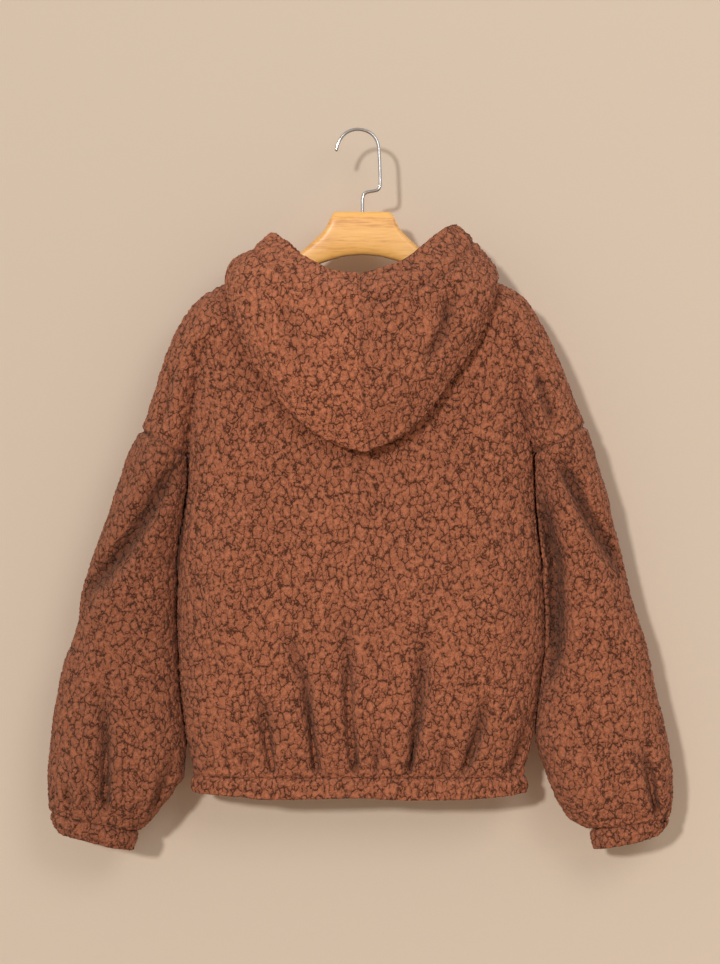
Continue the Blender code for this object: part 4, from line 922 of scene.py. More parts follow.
@dataclass(frozen=True)
class Body:
    """The back and the two fronts, with the shoulder beyond the side fold as a second block."""

    grid: BodyGrid = BodyGrid()

    def heights(self, side: int, other: int) -> tuple[Array, Array]:
        """Heights of the rows on one side's edge, and of the same rows on the other side's."""
        def edge(which: int, z: Array) -> Array:
            mine = [HEM_Z, UNDERARM_Z, ARMHOLE[side].inner, FOLD_TOP[side].z]
            its = [HEM_Z, UNDERARM_Z, ARMHOLE[which].inner, FOLD_TOP[which].z]
            return np.interp(z, mine, its)
        foot, top = ARMHOLE[side].inner, FOLD_TOP[side].z
        z = np.concatenate([np.linspace(HEM_Z, foot, self.grid.low_rows + 1),
                            np.linspace(foot, top, self.grid.top_rows + 1)[1:]])
        return z, edge(other, z)

    @staticmethod
    def edge(side: int, z: Array) -> Array:
        """x and z of the body's side at the rows."""
        return np.stack([Form.side_x(side, z, "body"), z], axis=-1)

    @staticmethod
    def ridge(side: int, start: Place, end: Place, share: Array) -> Array:
        """Points on the shoulder ridge between two of the outline's own points."""
        line = OUTLINE[side]
        i, j = line.index(start), line.index(end)
        return outline_at(line, i + (j - i) * np.asarray(share, float))

    @staticmethod
    def neck_line(side: int, degs: Array) -> Array:
        """x and z of the neck seam at several angles."""
        return np.array([Form.neck_place(side, d) for d in degs]).reshape(-1, 2)

    def panel(self, face: int, low: tuple[float, float], top: Array, left: Array, right: Array,
              u: Array, z: Array) -> Array:
        """A panel's points between its four edges."""
        bottom = np.stack([low[0] + (low[1] - low[0]) * u, np.full(len(u), HEM_Z)], axis=-1)
        v = (z - z[0]) / (z[-1] - z[0])
        g = coons(bottom, top, left, right, u, v)
        x, h = g[..., 0], g[..., 1]
        y = Form.torso_y(x, h, face)
        soft = ease((np.abs(y) - SHARP) / FOLD_FADE["panel"])
        return lay(g, y, face, Form.folds_in(x, h, face, "torso") * soft)

    def wing(self, side: int, face: int, edge: Array) -> Array:
        """The shoulder beyond the fold: rows up from the armhole, columns towards the fold."""
        seam, share = ARMHOLE[side], crowded_ends(self.grid.wing_columns)
        outer = np.array([float(Form.outline_x(side, seam.outer)), seam.outer])
        foot = np.array([float(Form.side_x(side, seam.inner, "body")), seam.inner])
        bottom = outer + (foot - outer) * share[:, None]
        top = self.ridge(side, WING_TOP[side], FOLD_TOP[side], share)
        z = edge[:, 2]
        v = (z - z[0]) / (z[-1] - z[0])
        left_z = seam.outer + (WING_TOP[side].z - seam.outer) * v
        left = np.stack([Form.outline_x(side, left_z), left_z], axis=-1)
        g = coons(bottom, top, left, edge[:, [0, 2]], share, v)
        y = Form.limb_y(g[..., 0], g[..., 1], face, side)
        dent = Form.folds_in(g[..., 0], g[..., 1], face, "shoulder") * ease(np.abs(y) / SHARP)
        points = lay(g, y, face, dent)
        points[:, 0, 1], points[-1, :, 1] = 0, 0
        points[:, -1] = edge
        return points

    def build_back(self, cloth: bpy.types.Material) -> bpy.types.Object:
        """Builds the back.

        Args:
            cloth: its material.

        Returns:
            The back's object.
        """
        n, rows = self.grid.back_columns, self.grid.low_rows
        u = np.linspace(0, 1, n + 1)
        for mark in (0.5 - NECK_BACK_U, 0.5 + NECK_BACK_U):
            u[np.argmin(np.abs(u - mark))] = mark
        parts = []
        for share in u:
            off, side = abs(share - 0.5), Side.LEFT if share < 0.5 else Side.RIGHT
            if off <= NECK_BACK_U + 1e-9:
                parts.append(Form.neck_place(side, 90 * off / NECK_BACK_U))
            else:
                way = (0.5 - off) / (0.5 - NECK_BACK_U)
                end = Place(side * NECK_X, NECK_RISE_Z)
                parts.append(tuple(self.ridge(side, FOLD_TOP[side], end, [way])[0]))
        z, z_right = self.heights(Side.LEFT, Side.RIGHT)
        grid = self.panel(Face.BACK, (HEM_X[-1], HEM_X[1]), np.array(parts), self.edge(-1, z),
                          self.edge(1, z_right), u, z)
        off = np.abs(u - 0.5) >= NECK_BACK_U - 1e-6
        grid[-1, off, 1] = 0
        for column, height in ((0, z), (-1, z_right)):
            grid[height <= UNDERARM_Z + 0.5, column, 1] = 0
        piece = ClothPiece("cloth_back", "back", 1)
        piece.add(grid)
        for side, column in ((Side.LEFT, 0), (Side.RIGHT, -1)):
            wing = self.wing(side, Face.BACK, grid[rows:, column])
            piece.sew(wing[0])
            piece.sew(wing[:, 0])
            piece.sew(wing[-1])
            piece.sew(grid[:rows + 1, column])
            piece.add(wing if side < 0 else wing[:, ::-1])
        piece.sew(grid[0], BAND_SEAM)
        piece.sew(grid[-1])
        return piece.make(cloth)

    def build_front(self, side: Side, cloth: bpy.types.Material) -> bpy.types.Object:
        """Builds one front.

        Args:
            side: which one.
            cloth: its material.

        Returns:
            The front's object.
        """
        u = np.linspace(0, 1, self.grid.front_columns + 1)
        u[np.argmin(np.abs(u - NECK_FRONT_U))] = NECK_FRONT_U
        end = Place(side * NECK_X, NECK_RISE_Z)
        degs = 90 + (LAST_DEG - 90) * (u[u >= NECK_FRONT_U] - NECK_FRONT_U) / (1 - NECK_FRONT_U)
        top = np.concatenate([
            self.ridge(side, FOLD_TOP[side], end, u[u < NECK_FRONT_U] / NECK_FRONT_U),
            self.neck_line(side, degs)])
        z, _ = self.heights(side, side)
        v = (z - z[0]) / (z[-1] - z[0])
        zip_z = HEM_Z + (Form.neck_place(side, LAST_DEG)[1] - HEM_Z) * v
        zip_edge = np.stack([np.full(len(z), side * ZIP_X), zip_z], axis=-1)
        grid = self.panel(Face.FRONT, (HEM_X[side], side * ZIP_X), top, self.edge(side, z),
                          zip_edge, u, z)
        grid[-1, u <= NECK_FRONT_U + 1e-9, 1] = 0
        grid[z <= UNDERARM_Z + 0.5, 0, 1] = 0
        rows = self.grid.low_rows
        wing = self.wing(side, Face.FRONT, grid[rows:, 0])
        piece = ClothPiece(f"cloth_front_{side.word}", f"front_{side.word}", side)
        piece.add(grid)
        piece.add(wing)
        for line in (wing[0], wing[:, 0], wing[-1], grid[:rows + 1, 0], grid[0], grid[-1],
                     grid[:, -1]):
            piece.sew(line)
        return piece.make(cloth)


# ------------------------------------------------------------ sleeves, cuffs and hem band
@dataclass(frozen=True)
class SleeveGrid:
    """How finely a sleeve and its cuff are drawn."""

    rows: int = 327
    half_ring: int = 87
    cuff_rows: int = 11
    arm_share: float = 0.31     # the armhole's part of the rows
    cuff_bulge: float = 1.6
    cuff_pucker: float = 0.8


class Sleeve:
    """A full sleeve, gathered into its narrow cuff."""

    def __init__(self, side: Side, grid: SleeveGrid = SleeveGrid()) -> None:
        """Works out the sleeve's two halves.

        Args:
            side: which sleeve.
            grid: how finely it is drawn.
        """
        self.side, self.grid = side, grid
        self.back, self.front = self.half(Face.BACK), self.half(Face.FRONT)

    def rows(self) -> tuple[Array, Array]:
        """Heights of the rows at the outer and at the inner edge."""
        seam, cuff, n = ARMHOLE[self.side], CUFF_SEAM[self.side], self.grid.rows
        arm = round(n * self.grid.arm_share / 3) * 3
        at = np.arange(n + 1)
        outer = np.interp(at, [0, arm, n], [seam.outer, UNDERARM_Z + UNDERARM_RISE, cuff.outer])
        inner = np.interp(at, [0, arm, n], [seam.inner, UNDERARM_Z, cuff.inner])
        return outer, inner

    def half(self, face: Face) -> Array:
        """Half the sleeve: rows down, columns from its outer to its inner edge."""
        side = self.side
        outer_z, inner_z = self.rows()
        outer = np.stack([Form.outline_x(side, outer_z), outer_z], axis=-1)
        inner = np.stack([Form.side_x(side, inner_z, "sleeve"), inner_z], axis=-1)
        share = crowded_ends(self.grid.half_ring)[None, :, None]
        g = outer[:, None] * (1 - share) + inner[:, None] * share
        x, z = g[..., 0], g[..., 1]
        y = Form.limb_y(x, z, face, side)
        from_top, from_cuff = ARMHOLE[side].outer - z, z - CUFF_SEAM[side].outer
        soft = ease((np.abs(y) - SHARP) / FOLD_FADE["sleeve"])
        soft = soft * ease(from_top / ARMHOLE_FADE) * ease(from_cuff / CUFF_FADE)
        points = lay(g, y, face, Form.folds_in(x, z, face, "sleeve") * soft)
        points[:, 0, 1] = 0
        points[inner_z <= UNDERARM_Z + 1e-6, -1, 1] = 0
        tuck = TUCK * np.interp(-inner_z, [-z for z in TUCK_Z], (0, 1, 1, 0))
        points[..., 0] -= side * tuck[:, None] * share[..., 0]
        return points

    def build_sleeve(self, cloth: bpy.types.Material) -> bpy.types.Object:
        """Builds the sleeve.

        Args:
            cloth: its material.

        Returns:
            The sleeve's object.
        """
        word = self.side.word
        grid = np.concatenate([self.back[:, ::-1], self.front[:, 1:]], axis=1)
        piece = ClothPiece(f"cloth_sleeve_{word}", f"sleeve_{word}", -self.side)
        piece.add(grid)
        piece.sew(grid[0])
        piece.sew(grid[-1])
        open_rows = self.rows()[1] > UNDERARM_Z
        piece.sew(grid[open_rows, 0])
        piece.sew(grid[open_rows, -1])
        return piece.make(cloth)

    def build_cuff(self, cloth: bpy.types.Material) -> bpy.types.Object:
        """Builds the cuff below the sleeve.

        Args:
            cloth: its material.

        Returns:
            The cuff's object.
        """
        ring = np.concatenate([self.back[-1][::-1], self.front[-1][1:]])[:, :3]
        low_outer, low_inner = (np.array([p.x, 0, p.z]) for p in CUFF_MOUTH[self.side])
        top_inner, top_outer = ring[0], ring[self.grid.half_ring]
        along = unit(top_outer - top_inner)
        reach = ((ring - top_inner) @ along) / np.linalg.norm(top_outer - top_inner)
        middle = ring.mean(axis=0)
        spread = unit((ring - middle) * (1, 1, 0))
        rows = [ring - SEAM_IN * spread + (0, 0, SEAM_UP)]
        for t in np.linspace(0, 1, self.grid.cuff_rows + 1):
            a = top_inner * (1 - t) + low_inner * t
            b = top_outer * (1 - t) + low_outer * t
            row = a + reach[:, None] * (b - a)
            row[:, 1] = ring[:, 1] * np.interp(t, (0, 0.5, 1), CUFF_DEPTH_SHARE)
            wave = np.sin(46 * reach + 2.2 * np.sin(9 * reach))
            pucker = self.grid.cuff_pucker * wave * math.sin(math.pi * t)
            bulge = self.grid.cuff_bulge * math.sin(math.pi * min(1, 0.08 + t))
            row += spread * (bulge + pucker)[:, None]
            rows.append(row)
        word = self.side.word
        piece = ClothPiece(f"cloth_cuff_{word}", f"cuff_{word}", -self.side)
        piece.add(np.array(rows))
        piece.sew(rows[1], BAND_SEAM)
        return piece.make(cloth)


@dataclass(frozen=True)
class BandSizes:
    """The hem band's grid and bulge, in millimetres where a length."""

    back_columns: int = 216
    front_columns: int = 108
    rows: int = 11
    bulge: float = 1.6
    pucker: float = 1.1
    wall: float = 3.6
    zip_fade: float = 12.0      # bulge and puckers begin within this length from the zip


@dataclass(frozen=True)
class HemBand:
    """The elastic band round the hem, open at the zip."""

    sizes: BandSizes = BandSizes()

    def ring(self) -> Array:
        """x and y of the hem seam from the zip round the back to the zip."""
        s = self.sizes
        quarter = np.sin(np.linspace(0, math.pi / 2, s.front_columns + 1))
        left = -ZIP_X + (HEM_X[-1] + ZIP_X) * quarter
        back = HEM_X[-1] + (HEM_X[1] - HEM_X[-1]) * crowded_ends(s.back_columns)
        right = (ZIP_X + (HEM_X[1] - ZIP_X) * quarter)[::-1]
        parts = []
        for face, xs in ((1, left), (-1, back[1:-1]), (1, right)):
            parts.append(np.stack([xs, Form.torso_y(xs, np.full(len(xs), HEM_Z), face)], axis=-1))
        ring = np.concatenate(parts)
        ring[[s.front_columns, s.front_columns + s.back_columns], 1] = 0
        return ring

    def build(self, cloth: bpy.types.Material) -> bpy.types.Object:
        """Builds the band.

        Args:
            cloth: its material.

        Returns:
            The band's object.
        """
        s, ring = self.sizes, self.ring()
        d = np.gradient(ring, axis=0)
        level = unit(np.stack([d[:, 1], -d[:, 0]], axis=-1))
        long = lengths(ring)
        low = smooth([p[0] for p in BAND_EDGE], [p[1] for p in BAND_EDGE], ring[:, 0])
        wave = np.sin(0.62 * long + 1.9 * np.sin(0.11 * long)) + 0.5 * np.sin(1.13 * long)
        at_zip = ease(np.minimum(long, long[-1] - long) / s.zip_fade)
        inside = ring - SEAM_IN * at_zip[:, None] * level
        rows = [np.column_stack([inside, HEM_Z + SEAM_UP * at_zip])]
        for t in np.linspace(0, 1, s.rows + 1):
            swell = math.sin(math.pi * min(1.0, 0.1 + 0.9 * t))
            out = (s.bulge * swell + s.pucker * wave * math.sin(math.pi * t)) * at_zip
            rows.append(np.stack([ring[:, 0] + out * level[:, 0], ring[:, 1] + out * level[:, 1],
                                  HEM_Z + (low - HEM_Z) * t], axis=-1))
        piece = ClothPiece("cloth_hem_band", "hem_band", -1, s.wall)
        piece.add(np.array(rows))
        piece.sew(rows[1], BAND_SEAM)
        return piece.make(cloth)


# ------------------------------------------------------------ hood
@dataclass(frozen=True)
class HoodGrid:
    """How finely half a hood is drawn."""

    stations: int = 207
    to_casing: int = 207
    to_face: int = 18
    samples: int = 480


@dataclass(frozen=True)
class Hood:
    """The hood hanging down the back, in two halves joined at the centre back."""

    grid: HoodGrid = HoodGrid()

    @staticmethod
    def marks(side: int, deg: float) -> Array:
        """A profile's marks, from the neck seam to the face edge."""
        table = HOOD[side]
        degs = [s.deg for s in table]
        seam = Form.neck_point(side, deg)
        stand = seam + np.array([0, 0, STAND * (0.4 + 0.6 * min(1, abs(180 - deg) / STAND_FADE))])
        places = [np.array([float(smooth(degs, [getattr(s, key)[k] for s in table], deg))
                            for k in range(3)]) for key in HOOD_MARKS]
        roll, rear, fold, front, casing, face = places
        pouch = float(ease((COLLAR[1] - deg) / (COLLAR[1] - COLLAR[0])))
        drop = ROLL_OVER[1] * min(1, max(0, (roll[2] - rear[2]) / ROLL_LOW))
        over = roll + ROLL_OVER[0] * unit((rear - roll) * (1, 1, 0)) - (0, 0, drop)
        over = pouch * over + (1 - pouch) * (0.6 * roll + 0.4 * rear)
        out = unit(fold - (rear + front) / 2)
        across = front - rear
        across = unit(across - (across @ out) * out)
        low = fold - TURN_R * out
        plain = [fold + 0.5 * (rear - fold), fold, fold + 0.5 * (front - fold)]
        turned = [low - TURN_R * across, fold, low + TURN_R * across]
        turn = [pouch * a + (1 - pouch) * b for a, b in zip(turned, plain)]
        return np.array([seam, stand, roll, over, rear, *turn, front, casing, face])

    def profile(self, side: int, deg: float) -> tuple[Array, Array]:
        """Evenly spaced points along a profile, and each one's place among the marks."""
        marks, g = self.marks(side, deg), self.grid
        at = np.linspace(0, FACE_MARK, g.samples + 1)
        line = curve(marks, at)
        long = lengths(line)
        casing = np.interp(CASING_MARK, at, long)
        want = np.concatenate([np.linspace(0, casing, g.to_casing + 1),
                               np.linspace(casing, long[-1], g.to_face + 1)[1:]])
        points = np.stack([np.interp(want, long, line[:, k]) for k in range(3)], axis=-1)
        return points, np.interp(want, long, at)

    def angles(self, side: int) -> Array:
        """Angles round the neck whose stations lie evenly along the hood's fold."""
        coarse = np.linspace(0, LAST_DEG, 60)
        fold = np.array([self.marks(side, d)[FOLD_MARK] for d in coarse])
        long = lengths(fold)
        return np.interp(np.linspace(0, long[-1], self.grid.stations + 1), long, coarse)

    def build(self, side: Side, cloth: bpy.types.Material) -> bpy.types.Object:
        """Builds one half.

        Args:
            side: which half.
            cloth: its material.

        Returns:
            The half's object.
        """
        degs = self.angles(side)
        lines = [self.profile(side, d) for d in degs]
        grid, at = np.array([p for p, _ in lines]), np.array([m for _, m in lines])
        name = f"cloth_hood_{side.word}"
        piece = ClothPiece(name, f"hood_{side.word}", -side)
        front = ease((at - DENT_FROM) / 0.9) * ease((DENT_TO - at) / 0.5)
        dent = Form.folds_in(grid[..., 0], grid[..., 2], Face.BACK, "hood", HOOD_FOLDS) * front
        across, up = np.gradient(grid, axis=1), np.gradient(grid, axis=0)
        grid = grid + side * unit(np.cross(across, up)) * dent[..., None]
        piece.add(np.concatenate([grid, dent[..., None]], axis=-1))
        piece.sew(grid[:, 0])
        piece.sew(grid[0], CENTRE_SEAM)
        piece.sew(grid[:, self.grid.to_casing], CASING_SEAM)
        return piece.make(cloth)


# ------------------------------------------------------------ zip
@dataclass(frozen=True)
class ZipSizes:
    """The zip's teeth, in millimetres."""

    pitch: float = 2.4
    half_x: float = 1.5
    half_z: float = 0.55
    half_y: float = 0.75
    apart: float = 0.9
    proud: float = 0.15
    margin: float = 4.0
    bevel: float = 0.22
    tape_rows: int = 180


@dataclass(frozen=True)
class Zip:
    """The closed zip down the front: two woven tapes and their teeth."""

    sizes: ZipSizes = ZipSizes()

    @staticmethod
    def face_y(z: Array) -> Array:
        """y of the tape's outer face at a height."""
        z = np.asarray(z, float)
        return Form.torso_y(np.full(z.shape, -ZIP_X), np.maximum(z, HEM_Z), 1) - TAPE_SET_IN

    def build_tape(self, side: Side, woven: bpy.types.Material) -> bpy.types.Object:
        """Builds one tape with a rolled edge beside the teeth.

        Args:
            side: which tape.
            woven: its material.

        Returns:
            The tape's object.
        """
        z = np.linspace(TAPE_TOP_Z, TAPE_END_Z, self.sizes.tape_rows)
        out = self.face_y(z)
        xs = np.array([7.7, 5.6, 3.4, 1.9, 0.5, 0.4, 1.9, 3.4, 5.6, 7.7])
        ys = np.array([0.0, 0.0, -0.1, 0.25, 0.05, -1.2, -1.4, -1.3, -1.4, -1.4])
        rings = np.stack([np.broadcast_to(side * xs, (len(z), len(xs))), out[:, None] + ys,
                          np.broadcast_to(z[:, None], (len(z), len(xs)))], axis=-1)
        tape = tube(f"tape_{side.word}", rings, woven)
        stand_for(tape, f"zip_tape_{side.word}")
        return tape

    def build_teeth(self, side: Side, metal: bpy.types.Material) -> bpy.types.Object:
        """Builds one row of teeth, between those of the other row.

        Args:
            side: which row.
            metal: its material.

        Returns:
            The row's object.
        """
        s = self.sizes
        first = TAPE_TOP_Z - s.margin - (s.pitch / 2 if side > 0 else 0)
        bm = bmesh.new()
        for z in np.arange(first, TAPE_END_Z + s.margin, -s.pitch):
            made = bmesh.ops.create_cube(bm, size=2)["verts"]
            bmesh.ops.scale(bm, verts=made, vec=(s.half_x * MM, s.half_y * MM, s.half_z * MM))
            place = (CENTRE_X + side * s.apart, float(self.face_y(np.array([z]))[0]) + s.proud, z)
            bmesh.ops.translate(bm, verts=made, vec=Vector(place) * MM)
        bmesh.ops.bevel(bm, geom=bm.edges[:], offset=s.bevel * MM, segments=1, affect="EDGES",
                        profile=0.5, material=-1)
        teeth = new_object(f"zip_teeth_{side.word}", bm, metal, False)
        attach(teeth, "jacket")
        return teeth


# ------------------------------------------------------------ hanger
@dataclass(frozen=True)
class HangerSizes:
    """How finely the hanger is drawn, and how square the bar's section is."""

    round_points: int = 28
    stations: int = 150
    squareness: float = 3.4
    turn: float = 0.05          # keeps the section's points off its corners, in radians
    wire_points: int = 18
    wire_steps: int = 220


@dataclass(frozen=True)
class Hanger:
    """A wooden bar that follows the shoulders, and its bent wire hook."""

    sizes: HangerSizes = HangerSizes()

    def build_bar(self, wood: bpy.types.Material) -> bpy.types.Object:
        """Builds the bar through rounded sections.

        Args:
            wood: its material.

        Returns:
            The bar's object.
        """
        s, end = self.sizes, BAR[-1].x
        xs = end * np.sin(np.linspace(-math.pi / 2, math.pi / 2, s.stations))
        table = {key: smooth([b.x for b in BAR], [getattr(b, key) for b in BAR], np.abs(xs))
                 for key in ("top", "bottom", "half")}
        a = np.linspace(0, 2 * math.pi, s.round_points, endpoint=False) + s.turn
        power = 2 / s.squareness
        across = np.sign(np.cos(a)) * np.abs(np.cos(a)) ** power
        up = np.sign(np.sin(a)) * np.abs(np.sin(a)) ** power
        middle, tall = (table["top"] + table["bottom"]) / 2, (table["top"] - table["bottom"]) / 2
        rings = np.stack([np.repeat(xs[:, None], len(a), axis=1), table["half"][:, None] * across,
                          middle[:, None] + tall[:, None] * up], axis=-1)
        bar = tube("bar", rings, wood)
        stand_for(bar, "hanger_bar")
        return bar

    def build_hook(self, steel: bpy.types.Material) -> bpy.types.Object:
        """Builds the hook as round wire with a rounded tip.

        Args:
            steel: its material.

        Returns:
            The hook's object.
        """
        s = self.sizes
        line = np.array([(p.x, p.z) for p in HOOK + (Place(0, STEM_END_Z),)], float)
        path = curve(line, np.linspace(0, len(line) - 1, s.wire_steps))
        way = unit(np.gradient(path, axis=0))
        tip = np.linspace(math.pi / 2, 0, 6, endpoint=False)[:, None]
        path = np.concatenate([path[0] - WIRE_R * np.sin(tip) * way[0], path])
        thick = np.concatenate([WIRE_R * np.maximum(np.cos(tip[:, 0]), 0.05),
                                np.full(len(way), WIRE_R)])
        way = np.concatenate([np.repeat(way[:1], len(tip), axis=0), way])
        a = np.linspace(0, 2 * math.pi, s.wire_points, endpoint=False)
        side = np.stack([way[:, 1], -way[:, 0]], axis=-1)
        out = thick[:, None] * np.cos(a)
        rings = np.stack([path[:, None, 0] + out * side[:, None, 0], thick[:, None] * np.sin(a),
                          path[:, None, 1] + out * side[:, None, 1]], axis=-1)
        hook = tube("hook", rings, steel)
        stand_for(hook, "hanger_hook")
        return hook


# ------------------------------------------------------------ materials
class Nodes:
    """Makes and links a node tree's nodes."""

    def __init__(self, tree: bpy.types.NodeTree) -> None:
        """Keeps the tree.

        Args:
            tree: the node tree to fill.
        """
        self.tree = tree

    def feed(self, socket: bpy.types.NodeSocket, source: object) -> None:
        """Links an output to an input socket, or sets the socket's own value."""
        if isinstance(source, bpy.types.NodeSocket):
            self.tree.links.new(source, socket)
        else:
            socket.default_value = source

    def add(self, kind: str, *sources: object, **values: object) -> bpy.types.Node:
        """Adds a node.

        Args:
            kind: the node's type, without the ShaderNode prefix.
            *sources: what feeds its first sockets, in their order.
            **values: its own settings, and what feeds its sockets by their names.

        Returns:
            The node.
        """
        node = self.tree.nodes.new("ShaderNode" + kind)
        named = {key: value for key, value in values.items() if not hasattr(node, key)}
        for key in values.keys() - named.keys():
            setattr(node, key, values[key])
        for socket, source in zip(node.inputs, sources):
            self.feed(socket, source)
        for key, value in named.items():
            self.feed(node.inputs[key.replace("_", " ")], value)
        return node

    def place(self) -> bpy.types.NodeSocket:
        """The point's place in its object's own frame."""
        return self.add("TexCoord").outputs["Object"]

    def noise(self, place: bpy.types.NodeSocket, scale: object,
              **values: float) -> bpy.types.NodeSocket:
        """A noise texture's value at a place."""
        return self.add("TexNoise", place, Scale=scale, **values).outputs["Fac"]

    def math(self, operation: str, *sources: object, kind: str = "Math") -> bpy.types.NodeSocket:
        """The result of one step of arithmetic on numbers, or on vectors with VectorMath."""
        return self.add(kind, *sources, operation=operation).outputs[0]

    def spread(self, value: bpy.types.NodeSocket, **ends: object) -> bpy.types.NodeSocket:
        """A value mapped from one range to another."""
        return self.add("MapRange", value, **ends).outputs[0]

    def ramp(self, value: bpy.types.NodeSocket,
             stops: Sequence[tuple[float, tuple[float, ...]]]) -> bpy.types.NodeSocket:
        """A value's colour on a ramp with given stops."""
        node = self.add("ValToRGB", value)
        marks = node.color_ramp.elements
        while len(marks) < len(stops):
            marks.new(0.5)
        for mark, (place, colour) in zip(marks, stops):
            mark.position, mark.color = place, (*colour, 1)
        return node.outputs["Color"]

    def relief(self, shader: bpy.types.Node, height: bpy.types.NodeSocket, strength: float,
               reach_mm: float) -> None:
        """Gives a shader's surface relief, over a distance in millimetres."""
        bump = self.add("Bump", Strength=strength, Distance=reach_mm * MM, Height=height)
        self.feed(shader.inputs["Normal"], bump.outputs["Normal"])


def new_material(name: str, **values: object) -> tuple[bpy.types.Material, Nodes, bpy.types.Node]:
    """A material with its Principled shader's own values set.

    Args:
        name: the material's name.
        **values: values of the shader's sockets, by their names.

    Returns:
        The material, its nodes and its shader.
    """
    made = bpy.data.materials.new(name)
    made.use_nodes = True
    shader = made.node_tree.nodes["Principled BSDF"]
    for key, value in values.items():
        shader.inputs[key.replace("_", " ")].default_value = value
    return made, Nodes(made.node_tree), shader


def new_group(name: str, numbers: Sequence[str], outputs: Sequence[str]
              ) -> tuple[Nodes, bpy.types.bpy_prop_collection, bpy.types.bpy_prop_collection]:
    """A node group whose first input is a place.

    Args:
        name: the group's name.
        numbers: names of its other inputs.
        outputs: names of its outputs.

    Returns:
        Its nodes, the sockets that bring its inputs and the sockets that take its outputs.
    """
    tree = bpy.data.node_groups.new(name, "ShaderNodeTree")
    tree.interface.new_socket("Place", in_out="INPUT", socket_type="NodeSocketVector")
    for in_out, words in (("INPUT", numbers), ("OUTPUT", outputs)):
        for word in words:
            tree.interface.new_socket(word, in_out=in_out, socket_type="NodeSocketFloat")
    start, end = tree.nodes.new("NodeGroupInput"), tree.nodes.new("NodeGroupOutput")
    return Nodes(tree), start.outputs, end.inputs


class CrackTone(NamedTuple):
    """How fibres and cracks make up one of the pile's outputs."""

    base: float
    grain: float
    cuts: tuple[tuple[float, float], ...]   # width and strength, clumps first, then curls


